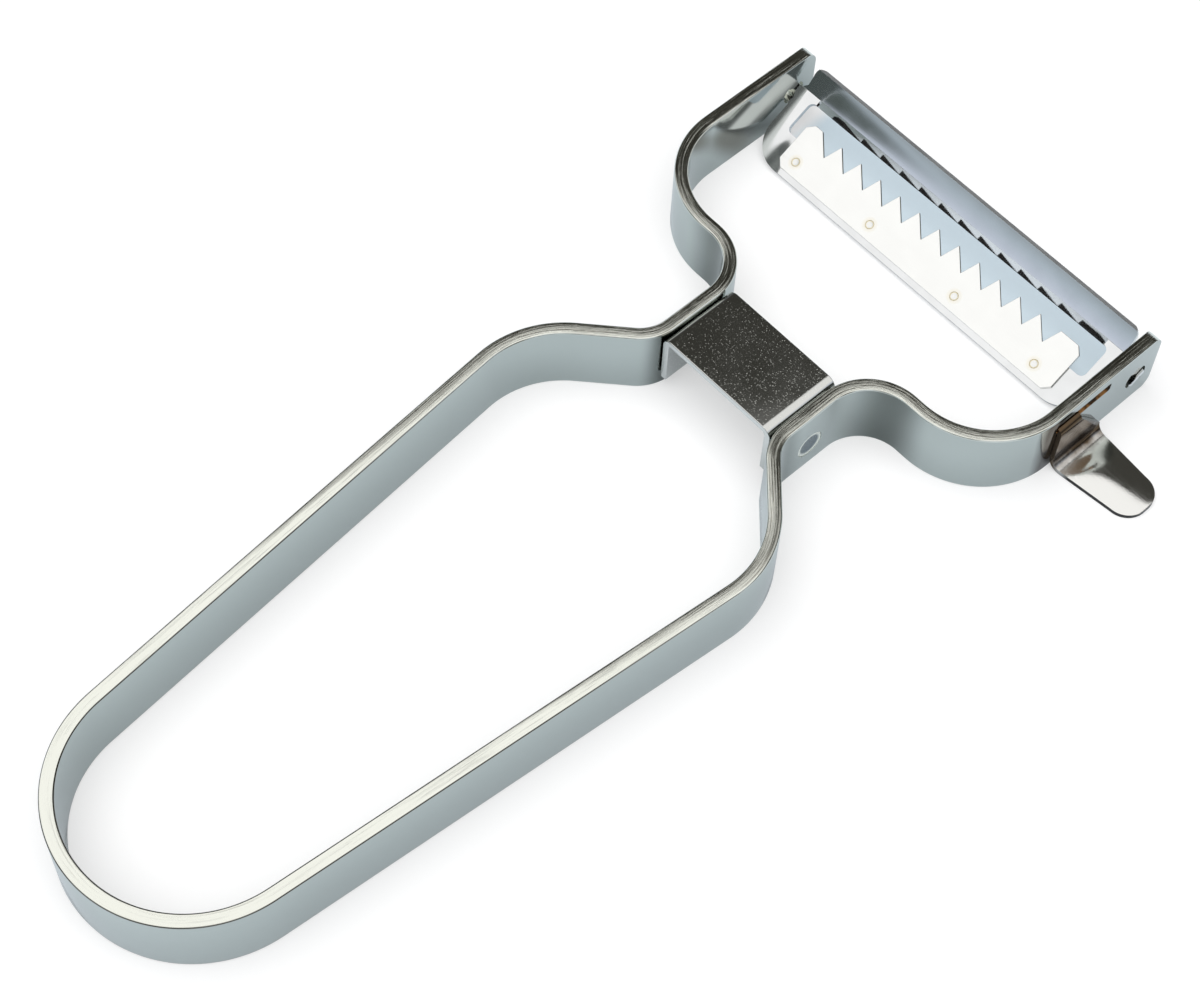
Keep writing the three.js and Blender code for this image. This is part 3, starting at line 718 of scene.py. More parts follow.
def spoon_steel(finishes, layout):
    # Bright stainless sheet, bent and pressed: a mirror with fine wipe marks, dark sheared
    # sides, and a brown heat tint that fades out from the root.
    material, tree, shader, spot, normal = start_material("heat_tinted_stainless_spoon")
    x = add(tree, SPLIT, (spot,)).outputs[0]
    cloud = add(tree, NOISE, (spot, per(1.8), 3.0))
    uneven = add(tree, MATH, (cloud, TINT_WANDER, x), operation="MULTIPLY_ADD")
    brown_mask = add(tree, RANGE, (uneven, *[layout.arm_outer + reach for reach in TINT_FADE]))
    tone = add(tree, MIX, (brown_mask, finishes.spoon, finishes.spoon_root), data_type="RGBA")
    up = add(tree, SPLIT, (normal,)).outputs[2]
    steep = add(tree, MATH, (up,), operation="ABSOLUTE")
    side = add(tree, RANGE, (steep, 0.75, 0.5))
    clear = add(tree, RANGE, (x, *[layout.arm_outer + reach for reach in RIM_FADE]))
    rim = add(tree, MATH, (side, clear), operation="MULTIPLY")
    cut = add(tree, MIX, (rim, tone, finishes.sheared), data_type="RGBA")
    wipes = add(tree, VECTOR, (spot, per(4.0, 0.2, 0.2)), operation="MULTIPLY")
    wiped = add(tree, NOISE, (wipes, 1.0, 2.0))
    rough = add(tree, RANGE, (wiped, 0.3, 0.7, 0.1, 0.17))
    peel = add(tree, NOISE, (spot, per(0.25), 2.0))
    bump = add(tree, BUMP, {"Strength": 0.22, "Distance": 0.02 * MM, "Height": peel})
    feed(shader, {"Base Color": cut, "Roughness": rough, "Normal": bump})
    return material


# Geometry Nodes trees


def start_tree(name, sizes):
    """Tree with a geometry in and out and one named input for each size."""
    tree = bpy.data.node_groups.new(name, "GeometryNodeTree")
    tree.interface.new_socket("Geometry", in_out="INPUT", socket_type="NodeSocketGeometry")
    for label, kind in sizes.items():
        tree.interface.new_socket(label, in_out="INPUT", socket_type="NodeSocket" + kind)
    tree.interface.new_socket("Geometry", in_out="OUTPUT", socket_type="NodeSocketGeometry")
    return tree, add(tree, "NodeGroupInput").outputs


def end_tree(tree, shape, finish):
    real = add(tree, "GeometryNodeRealizeInstances", {"Geometry": shape})
    dressed = add(tree, "GeometryNodeSetMaterial", {"Geometry": real, "Material": finish})
    add(tree, "NodeGroupOutput", {"Geometry": dressed})
    return tree


def grow(piece, tree, values):
    """Runs a tree on a piece with its inputs set, and keeps the result as a mesh."""
    modifier = piece.modifiers.new(tree.name, "NODES")
    modifier.node_group = tree
    for item in tree.interface.items_tree:
        if item.in_out == "INPUT" and item.name in values:
            modifier[item.identifier] = values[item.name]
    return settle(piece)


def bent_strip_tree():
    """Sweeps a rounded rectangle along a flat path, standing on edge."""
    tree, given = start_tree("bent_strip", {
        "Width": "Float", "Thickness": "Float", "Edge Round": "Float", "Finish": "Material"})
    section = add(tree, "GeometryNodeCurvePrimitiveQuadrilateral", {
        "Width": given["Thickness"], "Height": given["Width"]})
    rounded = add(tree, "GeometryNodeFilletCurve", {
        "Curve": section, "Count": 5, "Radius": given["Edge Round"]}, mode="POLY")
    upright = add(tree, "GeometryNodeSetCurveNormal", {"Curve": given["Geometry"]}, mode="Z_UP")
    swept = add(tree, "GeometryNodeCurveToMesh", {
        "Curve": upright, "Profile Curve": rounded, "Fill Caps": True})
    return end_tree(tree, swept, given["Finish"])


def weld_row_tree():
    """Sets one weld at each point, turned to the point's own facing."""
    tree, given = start_tree("weld_row", {
        "Weld": "Object", "Radius": "Float", "Depth": "Float", "Finish": "Material"})
    weld = add(tree, "GeometryNodeObjectInfo", {"Object": given["Weld"]})
    facing = add(tree, "GeometryNodeInputNamedAttribute", {"Name": "facing"},
                 data_type="FLOAT_VECTOR")
    turn = add(tree, "FunctionNodeAlignRotationToVector", {"Vector": facing}, axis="Z")
    scale = add(tree, JOIN, (given["Radius"], given["Radius"], given["Depth"]))
    row = add(tree, "GeometryNodeInstanceOnPoints", {
        "Points": given["Geometry"], "Instance": weld.outputs["Geometry"],
        "Rotation": turn, "Scale": scale})
    return end_tree(tree, row, given["Finish"])


# Pieces


class PEELER_OT_strip(bpy.types.Operator):
    """Bends the strip into handle, neck, head and arms, and punches its holes"""

    bl_idname = "peeler.strip"
    bl_label = "Strip"

    def execute(self, context):
        scene = context.scene
        strip, saddle, blade = scene.peeler_strip, scene.peeler_saddle, scene.peeler_blade
        layout = Layout(scene)
        material = plated_strip(scene.peeler_finishes, layout)

        right = [station[:2] for station in layout.stations]
        path = mirrored(right[1:]) + right
        curve = bpy.data.curves.new("strip_path", "CURVE")
        curve.dimensions = "3D"
        spline = curve.splines.new("POLY")
        spline.points.add(len(path) - 1)
        for point, (x, y) in zip(spline.points, path):
            point.co = (x, y, strip.width / 2, 1.0)
        piece = bpy.data.objects.new("strip_path", curve)
        scene.collection.objects.link(piece)
        piece = grow(piece, bent_strip_tree(), {
            "Width": strip.width, "Thickness": strip.thickness,
            "Edge Round": strip.edge_round, "Finish": material})

        arm, wide = layout.arm_inner - CUT_MARGIN, layout.arm_outer + CUT_MARGIN
        neck, reach = layout.neck_inner - CUT_MARGIN, layout.neck_outer + CUT_MARGIN
        hole = self.hourglass(blade, layout)
        weld = ring(layout.neck_y, saddle.weld_height, saddle.weld_radius + WELD_ROOM)
        for outline, low, high in (
                (self.tip_corner(strip, layout, strip.width, 1), -wide, wide),
                (self.tip_corner(strip, layout, 0.0, -1), -wide, wide),
                (hole, -wide, -arm), (hole, arm, wide),
                (self.eye_slot(layout), arm, wide),
                (weld, -reach, -neck), (weld, neck, reach)):
            carve(piece, prism("punch", outline, along_x, low, high))
        round_edges(piece, strip.hole_edge)
        self.mark_flow(piece, path)
        finish_piece(piece, "bent_strip", material, "frame", "plated_strip", "frame_strip")
        return {"FINISHED"}

    @staticmethod
    def tip_corner(strip, layout, level, up):
        """What lies outside the rounded upper or lower corner of an arm's end."""
        r = strip.tip_round
        y, z, far = layout.tip_y - r, level - up * r, r + CUT_MARGIN
        curve = arc(y, z, r, 0, up * math.pi / 2, 14)
        return curve + [(y, z + up * far), (y + far, z + up * far), (y + far, z)]

    @staticmethod
    def hourglass(blade, layout):
        """Space that the flat tab sweeps between its two stops."""
        reach = blade.tab_width / 2 + blade.tab_end_clearance
        half = blade.thickness / 2 + blade.tab_clearance
        waist = half / math.cos(blade.tilt)
        flank = blade.tilt + math.asin(half / reach)
        lobe = arc(0, 0, reach, -flank, flank, 16)
        outline = [(0, -waist), *lobe, (0, waist), *[(-y, -z) for y, z in lobe]]
        return [(layout.pivot_y + y, blade.pivot_height + z) for y, z in outline]

    @staticmethod
    def eye_slot(layout):
        (rear, front), (low, high) = layout.eye_slot
        r, quarter = PUNCH_ROUND, math.pi / 2
        corners = (
            (front - r, low + r), (front - r, high - r), (rear + r, high - r), (rear + r, low + r))
        return [
            point for i, (y, z) in enumerate(corners)
            for point in arc(y, z, r, (i - 1) * quarter, i * quarter, 5)]

    @staticmethod
    def mark_flow(piece, path):
        """Stores each point's distance along and across the strip, for the streaks."""
        spots = [Vector(p) for p in path]
        starts = [0.0]
        for a, b in zip(spots, spots[1:]):
            starts.append(starts[-1] + (b - a).length)
        along = piece.data.attributes.new("along", "FLOAT", "POINT")
        across = piece.data.attributes.new("across", "FLOAT", "POINT")
        for vertex in piece.data.vertices:
            here = vertex.co.to_2d()
            best = None
            for i, (a, b) in enumerate(zip(spots, spots[1:])):
                run = b - a
                t = min(max((here - a).dot(run) / run.length_squared, 0.0), 1.0)
                gap = (here - a - t * run).length
                if best is None or gap < best[0]:
                    side = run.cross(here - a)
                    best = (gap, starts[i] + t * run.length, math.copysign(gap, side))
            along.data[vertex.index].value, across.data[vertex.index].value = best[1:]


class PEELER_OT_saddle(bpy.types.Operator):
    """Folds the saddle between the two sides of the neck"""

    bl_idname = "peeler.saddle"
    bl_label = "Saddle"

    def execute(self, context):
        scene = context.scene
        strip, saddle = scene.peeler_strip, scene.peeler_saddle
        layout = Layout(scene)
        side, top, foot = layout.saddle_side, strip.width, strip.width - saddle.drop
        x, z = side - saddle.bend, top - saddle.bend
        outer = arc(x, z, saddle.bend, 0, math.pi / 2, 16)
        inner = arc(x, z, saddle.bend - saddle.thickness, math.pi / 2, 0, 16)
        outside = [(side, foot), *outer, *mirrored(outer), (-side, foot)]
        within = side - saddle.thickness
        inside = [(-within, foot), *mirrored(inner), *inner, (within, foot)]
        half = saddle.length / 2
        rear, front = layout.neck_y - half, layout.neck_y + half
        piece = prism("saddle", outside + inside, along_y, rear, front)
        pocket = ring(layout.neck_y, saddle.weld_height, saddle.weld_radius + WELD_ROOM)
        bite, reach = side - saddle.weld_bite - POCKET_ROOM, layout.neck_outer + CUT_MARGIN
        for low, high in ((bite, reach), (-reach, -bite)):
            carve(piece, prism("pocket", pocket, along_x, low, high))
        round_edges(piece, saddle.edge)
        material = polished_saddle(scene.peeler_finishes)
        finish_piece(piece, "saddle", material, "frame", "polished_saddle", "bridge")
        return {"FINISHED"}


class PEELER_OT_welds(bpy.types.Operator):
    """Sets the dished spot welds of the saddle and of the comb"""

    bl_idname = "peeler.welds"
    bl_label = "Spot Welds"

    def execute(self, context):
        scene = context.scene
        saddle, comb = scene.peeler_saddle, scene.peeler_comb
        layout = Layout(scene)
        finishes = scene.peeler_finishes
        straw = weld_mark("straw_tinted_spot_weld", finishes.comb, finishes.weld)
        # The neck welds' rim takes the strip's bright edge colour as a painted highlight
        grey = weld_mark("pressed_grey_spot_weld", finishes.neck_weld, finishes.strip_edge)
        tree = weld_row_tree()
        button = self.button()

        face = layout.neck_outer - WELD_SHY
        spots = [(side * face, layout.neck_y, saddle.weld_height) for side in (-1, 1)]
        piece = grow(self.points("saddle_welds", spots, [(-1, 0, 0), (1, 0, 0)]), tree, {
            "Weld": button, "Radius": saddle.weld_radius,
            "Depth": face - layout.saddle_side + saddle.weld_bite, "Finish": grey})
        nodes = ["bridge_weld_left", "bridge_weld_right"]
        finish_piece(piece, "saddle_welds", grey, "frame", "weld_mark", *nodes)

        face = layout.comb_top - WELD_SHY
        spots = [
            layout.blade_place @ Vector((x, layout.comb_weld_y, face)) for x in layout.comb_weld_x]
        piece = grow(self.points("comb_welds", spots, [layout.blade_up] * len(spots)), tree, {
            "Weld": button, "Radius": comb.weld_radius,
            "Depth": face - layout.floor_top + comb.weld_bite, "Finish": straw})
        nodes = [f"comb_weld_{i + 1}" for i in range(len(spots))]
        finish_piece(piece, "comb_welds", straw, "blade", "weld_mark", *nodes)
        bpy.data.objects.remove(button)
        return {"FINISHED"}

    @staticmethod
    def points(name, spots, facings):
        mesh = bpy.data.meshes.new(name)
        mesh.from_pydata([tuple(p) for p in spots], [], [])
        facing = mesh.attributes.new("facing", "FLOAT_VECTOR", "POINT")
        for item, direction in zip(facing.data, facings):
            item.vector = direction
        piece = bpy.data.objects.new(name, mesh)
        bpy.context.scene.collection.objects.link(piece)
        return piece

    @staticmethod
    def button():
        """Weld of unit radius and depth, its sunken face at the origin, facing +Z."""
        profile = [(1.0, -1.0), (1.0, -0.03), (0.98, -0.01), (0.94, 0.0), (0.86, -0.01),
                   (0.7, -0.035), (0.5, -0.055), (0.25, -0.065)]
        middle, rim_from, steps = -0.068, 0.8, 40
        last = (len(profile) - 1) * steps
        points = [(x, y, z) for r, z in profile for x, y in ring(0, 0, r, steps)]
        points.append((0, 0, middle))
        faces = [tuple(range(steps))]
        for k in range(steps):
            n = (k + 1) % steps
            for row in range(0, last, steps):
                faces.append((row + k, row + n, row + steps + n, row + steps + k))
            faces.append((last + k, last + n, len(points) - 1))
        weld = mesh_object("weld_button", points, faces)
        for polygon in weld.data.polygons:
            polygon.use_smooth = len(polygon.vertices) < steps
        rim = weld.data.attributes.new("rim", "FLOAT", "POINT")
        for item, (x, y, z) in zip(rim.data, points):
            item.value = 1.0 if math.hypot(x, y) > rim_from else 0.0
        return weld


class PEELER_OT_blade(bpy.types.Operator):
    """Forms the slotted tray, its ground cutting edge, front wall and end tabs"""

    bl_idname = "peeler.blade"
    bl_label = "Blade Tray"

    def execute(self, context):
        scene = context.scene
        blade, comb = scene.peeler_blade, scene.peeler_comb
        layout = Layout(scene)
        wide = layout.arm_outer + blade.tab_proud + CUT_MARGIN
        deep = blade.wall_rise + blade.thickness
        piece = prism("tray", self.profile(blade), along_x, -wide, wide)
        carve(piece, prism("plan", self.plan(blade, layout), along_z, -deep, deep), "INTERSECT")
        carve(piece, prism("slot", self.slot(blade, layout), along_z, -deep, deep))
        ground = layout.slot_half - blade.slot_round
        carve(piece, prism("bevel", self.bevel(blade), along_x, -ground, ground))
        bottom = layout.floor_top - comb.weld_bite - comb.weld_clearance / 2
        for x in layout.comb_weld_x:
            pocket = ring(x, layout.comb_weld_y, comb.weld_radius + WELD_ROOM, SPOT_POINTS)
            carve(piece, prism("pocket", pocket, along_z, bottom, layout.floor_top + CUT_MARGIN))
        round_edges(piece, blade.edge, limit=math.radians(20), segments=2)
        piece.data.transform(layout.blade_place)
        material = blade_steel(scene.peeler_finishes, layout)
        finish_piece(piece, "blade_tray_sheet", material, "blade", "blade_steel", "blade_tray")
        return {"FINISHED"}

    @staticmethod
    def profile(blade):
        """Section of floor and front wall: a bend, then a wall that curls up a little."""
        half = blade.thickness / 2
        chord = math.atan2(blade.wall_rise, blade.wall_run)
        low, high = chord - blade.wall_curl / 2, chord + blade.wall_curl / 2
        run = blade.wall_run - half * math.sin(high)
        span = math.hypot(run, run * math.tan(chord))
        middle = [(-blade.rear, 0.0, 0.0)]
        steps = 18
        start = blade.wall_start - blade.wall_bend * math.tan(low / 2)
        for i in range(steps + 1):
            a = low * i / steps
            y, z = blade.wall_bend * math.sin(a), blade.wall_bend * (1 - math.cos(a))
            middle.append((start + y, z, a))
        for i in range(1, steps + 1):
            y, z, a = middle[-1]
            a = low + (high - low) * i / steps
            middle.append((y + span / steps * math.cos(a), z + span / steps * math.sin(a), a))
        leaning = middle[-1][0] - blade.rim_lean
        top = [
            (y - half * math.sin(a), z + half * math.cos(a)) for y, z, a in middle if y <= leaning]
        under = [(y + half * math.sin(a), z - half * math.cos(a)) for y, z, a in middle]
        return under + top[::-1]

    @staticmethod
    def plan(blade, layout):
        """Right half, from the tray's rear round the tab to the wall, and its mirror image."""
        r, tab, c = blade.rear_round, blade.tab_width / 2, PUNCH_ROUND
        tray, tip = layout.tray_half, layout.arm_outer + blade.tab_proud
        wall, turn = tray - blade.wall_end_inset, blade.wall_round
        front = blade.wall_start + blade.wall_run + RIM_ROOM
        root = min(blade.tab_root, blade.end_gap * ROOT_SHARE)
        quarter = math.pi / 2
        right = [
            *arc(tray - r, r - blade.rear, r, -quarter, 0, 24),
            *reversed(arc(tray + root, -tab - root, root, quarter, math.pi, 6)),
            *arc(tip - c, -tab + c, c, -quarter, 0, 5),
            *arc(tip - c, tab - c, c, 0, quarter, 5),
            (tray, tab),
            (tray, blade.wall_start),
            (wall, blade.wall_start + blade.wall_end_inset),
            *arc(wall - turn, front - turn, turn, 0, quarter, 10),
        ]
        return right + mirrored(right)

    @staticmethod
    def slot(blade, layout):
        r, x = blade.slot_round, layout.slot_half - blade.slot_round
        right = [
            *arc(x, r - blade.slot_rear, r, -math.pi / 2, 0, 8),
            *arc(x, blade.slot_front - r, r, 0, math.pi / 2, 8),
        ]
        return right + mirrored(right)

    @staticmethod
    def bevel(blade):
        """Ground cut that leaves the cutting edge at the sheet's lower side."""
        half, near = blade.thickness / 2, blade.slot_front
        rise, run = GROUND_OVERRUN * blade.thickness, GROUND_OVERRUN * blade.bevel_run
        return [
            (near - CUT_MARGIN, -half), (near, -half), (near + run, rise - half),
            (near + run, rise + CUT_MARGIN), (near - CUT_MARGIN, rise + CUT_MARGIN)]


class PEELER_OT_comb(bpy.types.Operator):
    """Cuts the saw-toothed comb plate"""

    bl_idname = "peeler.comb"
    bl_label = "Comb Plate"

    def execute(self, context):
        scene = context.scene
        comb = scene.peeler_comb
        layout = Layout(scene)
        low, high = layout.comb_under, layout.comb_top
        piece = prism("comb", self.plan(comb, layout), along_z, low, high)
        for x in layout.comb_weld_x:
            hole = ring(x, layout.comb_weld_y, comb.weld_radius + WELD_ROOM, SPOT_POINTS)
            carve(piece, prism("hole", hole, along_z, low - CUT_MARGIN, high + CUT_MARGIN))
        round_edges(piece, comb.edge, limit=math.radians(30), segments=2)
        piece.data.transform(layout.blade_place)
        material = comb_steel(scene.peeler_finishes, layout)
        finish_piece(piece, "saw_comb", material, "blade", "comb_steel", "comb_plate")
        return {"FINISHED"}

    @staticmethod
    def plan(comb, layout):
        """Chamfered plate whose front is a saw between two blunt end teeth."""
        c, half, rear, front = comb.chamfer, layout.comb_half, layout.comb_rear, layout.comb_front
        valleys = math.floor((2 * half - 2 * comb.end_tooth) / comb.pitch) + 1
        first = -(valleys - 1) * comb.pitch / 2
        saw = [(first - comb.pitch + comb.tooth_lead, front)]
        for i in range(valleys):
            x = first + i * comb.pitch
            saw += [(x, front - comb.tooth_depth), (x + comb.tooth_lead, front)]
        return [
            (-half + c, rear), (half - c, rear),
            (half, rear + c), (half, front - c), (half - c, front),
            *saw[::-1],
            (-half + c, front), (-half, front - c), (-half, rear + c),
        ]


class PEELER_OT_spoon(bpy.types.Operator):
    """Bends the eye spoon: tab in the slot, flange down the arm, dome outwards"""

    bl_idname = "peeler.spoon"
    bl_label = "Eye Spoon"

    def execute(self, context):
        scene = context.scene
        spoon = scene.peeler_spoon
        layout = Layout(scene)
        rows, columns = self.sheet(spoon, layout), 28
        half = spoon.thickness / 2
        points = []
        for over in (1, -1):
            for (x, z), (nx, nz), (rear, front) in rows:
                for k in range(columns + 1):
                    y = rear + (front - rear) * k / columns
                    lift = over * half + self.dome(spoon, layout, x, y)
                    points.append((x + nx * lift, y, z + nz * lift))
        wide, tall = columns + 1, len(rows)
        faces = []
        for side in (0, tall * wide):
            for r in range(tall - 1):
                for k in range(columns):
                    a = side + r * wide + k
                    faces.append((a, a + 1, a + wide + 1, a + wide))
        rim = list(range(columns)) + [columns + r * wide for r in range(tall - 1)]
        rim += [(tall - 1) * wide + k for k in range(columns, 0, -1)]
        rim += [r * wide for r in range(tall - 1, 0, -1)]
        for a, b in zip(rim, rim[1:] + rim[:1]):
            faces.append((a, b, b + tall * wide, a + tall * wide))
        piece = mesh_object("eye_spoon", points, faces)
        round_edges(piece, spoon.edge, limit=math.radians(60))
        material = spoon_steel(scene.peeler_finishes, layout)
        finish_piece(piece, "eye_spoon", material, "frame", "spoon_steel", "eye_remover")
        return {"FINISHED"}

    @staticmethod
    def dome(spoon, layout, x, y):
        """Rise of the pressed dome, which falls away to both sides of the spoon."""
        along = (x - layout.arm_outer - spoon.dome_from_arm) / spoon.dome_reach
        rear, front = spoon_sides(spoon, layout, x)
        across = (2 * y - rear - front) / (front - rear)
        crown = max(1 - along * along, 0.0) ** DOME_POWER
        return spoon.dome_rise * crown * (1 - across * across)

    @staticmethod
    def sheet(spoon, layout):
        """Rows across the sheet: mid point, normal and side limits."""
        half, rear = spoon.thickness / 2, layout.eye_rear
        tab_z = spoon.slot_bottom + spoon.seat + half
        mid_x = layout.eye_face + half
        small, large = spoon.tab_bend + half, spoon.bend + half
        foot = spoon.thickness + spoon.bend
        quarter = math.pi / 2
        rows = []

        def flange(z):
            t = min(max((spoon.slot_bottom - z) / (spoon.slot_bottom - foot), 0.0), 1.0)
            return rear, rear + spoon.tab_width + t * (spoon.root_width - spoon.tab_width)

        for i in range(5):
            x = layout.arm_inner + (mid_x - small - layout.arm_inner) * i / 4
            rows.append(((x, tab_z), (0, 1), flange(tab_z)))
        for i in range(1, 7):
            a = quarter * (1 - i / 6)
            n = (math.cos(a), math.sin(a))
            z = tab_z - small + small * n[1]
            rows.append(((mid_x - small + small * n[0], z), n, flange(z)))
        top = tab_z - small
        for i in range(1, 13):
            z = top + (foot - top) * i / 12
            rows.append(((mid_x, z), (1, 0), flange(z)))
        for i in range(1, 11):
            a = quarter * i / 10
            x = mid_x + large * (1 - math.cos(a))
            z = foot - large * math.sin(a)
            rows.append(((x, z), (math.cos(a), math.sin(a)), spoon_sides(spoon, layout, x)))
        start = mid_x + large
        for i in range(1, 41):
            t = i / 40
            x = start + (layout.eye_tip - start) * math.sin(quarter * t)
            rows.append(((x, half), (0, 1), spoon_sides(spoon, layout, x)))
        return rows


def spoon_sides(spoon, layout, x):
    """Rear and front limit of the spoon at a distance from the arm."""
    root, nose, r = spoon.root_width / 2, spoon.tip_width / 2, spoon.tip_round
    end = layout.eye_tip - r
    if x <= end:
        t = (x - layout.eye_face) / (end - layout.eye_face)
        reach = root + (nose - root) * t
    else:
        reach = nose - r + math.sqrt(max(r * r - (x - end) ** 2, TIP_LEAST ** 2))
    return layout.eye_y - reach, layout.eye_y + reach


class PEELER_OT_stage(bpy.types.Operator):
    """Sets the pale floor, the softbox, the studio surroundings and the camera"""

    bl_idname = "peeler.stage"
    bl_label = "Stage"

    def execute(self, context):
        scene, settings = context.scene, context.scene.peeler_stage
        scene.view_settings.view_transform = "Standard"
        self.floor(settings, Layout(scene))
        self.softbox(scene, settings)
        self.surroundings(scene)
        self.camera(scene, settings)
        return {"FINISHED"}

    @staticmethod
    def floor(settings, layout):
        half, low = settings.floor_size / 2, CAD_BOX[0][2]
        corners = [(-half, -half, low), (half, -half, low), (half, half, low), (-half, half, low)]
        piece = mesh_object("floor", corners, [(0, 1, 2, 3)])
        # Matt paper: no gloss, so only the soft shadow and the painted shade show on it
        material, tree, shader, spot, _ = start_material("matt_white_paper")
        path = add(tree, "ShaderNodeLightPath").outputs
        shown = add(
            tree, MATH, (path["Is Glossy Ray"], settings.floor_in_metal, path["Is Camera Ray"]),
            operation="MULTIPLY_ADD")
        seen = add(
            tree, MATH, (shown, path["Is Transmission Ray"]), operation="ADD", use_clamp=True)
        # Painted shade: in a box under the blade the camera sees the blue-grey shade colour in
        # place of the white floor
        x, y, _ = add(tree, SPLIT, (spot,)).outputs
        away = add(tree, MATH, (y, layout.pivot_y - SHADE_BEHIND), operation="SUBTRACT")
        past = []
        for reach, shaded in zip((x, away), SHADE_HALF):
            size = add(tree, MATH, (reach,), operation="ABSOLUTE")
            past.append(add(tree, MATH, (size, shaded), operation="SUBTRACT"))
        out = add(tree, MATH, past, operation="MAXIMUM")
        clear = add(tree, RANGE, (out, 0.0, SHADE_FADE), interpolation_type="SMOOTHSTEP")
        white = add(tree, MIX, (clear, settings.shade, settings.floor), data_type="RGBA")
        ground = settings.paper
        # Painted shade: dark spots on the floor, seen only in the metal, stand in for contact
        # shadow
        for shade_x, shade_y, inner, outer in FLOOR_SHADE_SPOTS:
            middle = (shade_x * MM, shade_y * MM, low)
            gap = add(tree, VECTOR, (spot, middle), operation="DISTANCE")
            bare = add(
                tree, RANGE, (gap, inner * MM, outer * MM), interpolation_type="SMOOTHSTEP")
            ground = add(tree, MIX, (bare, linear(FLOOR_SHADE_TONE), ground), data_type="RGBA")
        paper = add(tree, MIX, (seen, ground, white), data_type="RGBA")
        lift = add(tree, MATH, (seen, settings.shadow_lift), operation="MULTIPLY")
        dim = add(tree, MIX, (lift, paper, (0.0, 0.0, 0.0)), data_type="RGBA")
        feed(shader, {
            "Base Color": dim, "Metallic": 0.0, "Specular IOR Level": 0.0, "Roughness": 1.0,
            "Emission Color": white, "Emission Strength": lift})
        piece.data.materials.append(material)

    @staticmethod
    def softbox(scene, settings):
        lamp = bpy.data.lights.new("softbox", "AREA")
        lamp.shape = "SQUARE"
        lamp.size = settings.lamp_size
        lamp.energy = settings.lamp_power
        piece = bpy.data.objects.new("softbox", lamp)
        x, y, _ = settings.target
        piece.location = (x, y - LAMP_BACK, settings.lamp_height)
        piece.rotation_euler = (LAMP_LEAN, 0, 0)
        piece.visible_glossy = False
        piece.visible_camera = False
        scene.collection.objects.link(piece)

    @staticmethod
    def surroundings(scene):
        """Bright ceiling, a dark room beyond the blade, and a pale horizon."""
        world = bpy.data.worlds.new("studio")
        world.use_nodes = True
        tree = world.node_tree
        tree.nodes.clear()
        way = add(tree, "ShaderNodeTexCoord").outputs["Generated"]
        height = add(tree, SPLIT, (way,)).outputs[2]
        beyond = add(tree, VECTOR, (way, ROOM_SIDE), operation="DOT_PRODUCT")
        room = add(tree, RANGE, (beyond, -ROOM_BLUR, ROOM_BLUR), interpolation_type="SMOOTHSTEP")
        ramps = []
        for stops in (CEILING_STOPS, ROOM_STOPS):
            ramps.append(add(tree, "ShaderNodeValToRGB", (height,)))
            elements = ramps[-1].color_ramp.elements
            for place, code in stops[2:]:
                elements.new(place)
            for element, (place, code) in zip(elements, sorted(stops)):
                element.position = place
                element.color = (*linear(code), 1.0)
        lit = add(tree, MIX, (room, *ramps), data_type="RGBA")
        for toward, inner, outer, code in DARK_CARDS:
            near = add(tree, VECTOR, (way, Vector(toward).normalized()), operation="DOT_PRODUCT")
            card = add(
                tree, RANGE, (near, math.cos(outer), math.cos(inner)),
                interpolation_type="SMOOTHSTEP")
            lit = add(tree, MIX, (card, lit, linear(code)), data_type="RGBA")
        shown = add(tree, "ShaderNodeBackground", {"Color": lit, "Strength": 1.0})
        add(tree, "ShaderNodeOutputWorld", {"Surface": shown})
        scene.world = world

    @staticmethod
    def camera(scene, settings):
        az, el, roll = settings.azimuth, settings.elevation, settings.roll
        back = Vector((math.sin(az) * math.cos(el), -math.cos(az) * math.cos(el), math.sin(el)))
        level = Vector((math.cos(az), math.sin(az), 0))
        upright = back.cross(level)
        right = math.cos(roll) * level + math.sin(roll) * upright
        up = math.cos(roll) * upright - math.sin(roll) * level
        data = bpy.data.cameras.new("camera")
        data.sensor_fit = "HORIZONTAL"
        data.sensor_width = SENSOR_WIDTH
        data.lens = settings.focal
        data.clip_start = NEAR_CLIP
        camera = bpy.data.objects.new("camera", data)
        turn = Matrix((right, up, back)).transposed().to_4x4()
        place = Vector(settings.target) + back * settings.distance
        camera.matrix_world = Matrix.Translation(place) @ turn
        scene.collection.objects.link(camera)
        scene.camera = camera


STEPS = (
    PEELER_OT_strip, PEELER_OT_saddle, PEELER_OT_blade, PEELER_OT_comb,
    PEELER_OT_welds, PEELER_OT_spoon, PEELER_OT_stage)

GROUPS = {
    "peeler_strip": StripSizes,
    "peeler_saddle": SaddleSizes,
    "peeler_blade": BladeSizes,
    "peeler_comb": CombSizes,
    "peeler_spoon": SpoonSizes,
    "peeler_finishes": PeelerFinishes,
    "peeler_stage": StageSettings,
}


class PEELER_PT_sidebar(bpy.types.Panel):
    bl_idname = "PEELER_PT_sidebar"
    bl_label = "Julienne Peeler"
    bl_space_type = "VIEW_3D"
    bl_region_type = "UI"
    bl_category = "Peeler"

    def draw(self, context):
        for step in STEPS:
            self.layout.operator(step.bl_idname)
        for name in GROUPS:
            box = self.layout.box()
            group = getattr(context.scene, name)
            for key in group.bl_rna.properties.keys():
                if key not in {"rna_type", "name"}:
                    box.prop(group, key)


CLASSES = (*GROUPS.values(), *STEPS, PEELER_PT_sidebar)


def register():
    for item in CLASSES:
        bpy.utils.register_class(item)
    for name, group in GROUPS.items():
        setattr(bpy.types.Scene, name, bpy.props.PointerProperty(type=group))


def unregister():
    for name in GROUPS:
        delattr(bpy.types.Scene, name)
    for item in reversed(CLASSES):
        bpy.utils.unregister_class(item)


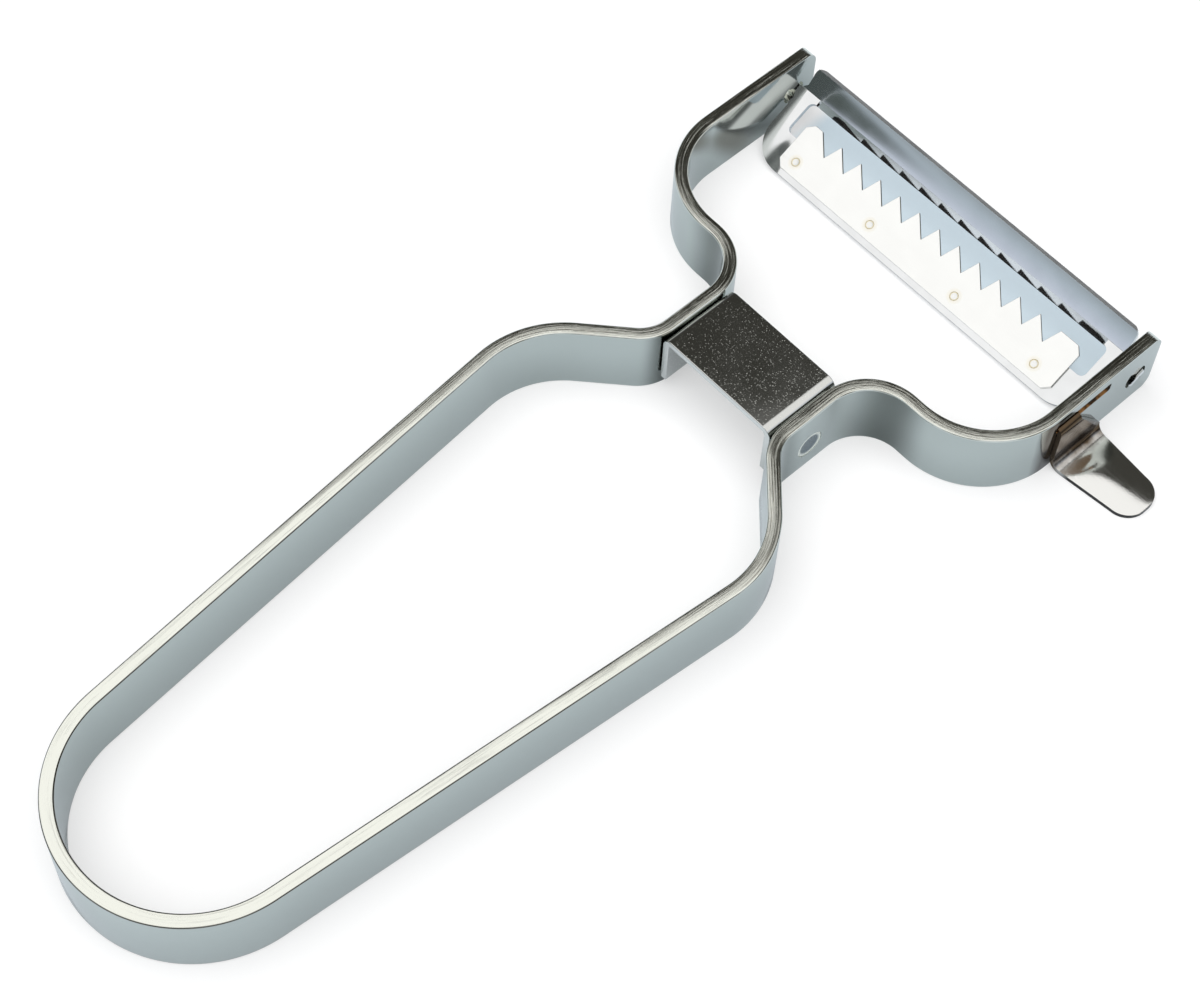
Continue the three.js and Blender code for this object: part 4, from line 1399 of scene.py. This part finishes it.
def main():
    register()
    bpy.ops.peeler.strip()
    bpy.ops.peeler.saddle()
    bpy.ops.peeler.blade()
    bpy.ops.peeler.comb()
    bpy.ops.peeler.welds()
    bpy.ops.peeler.spoon()
    bpy.ops.peeler.stage()


if __name__ == "__main__":
    main()
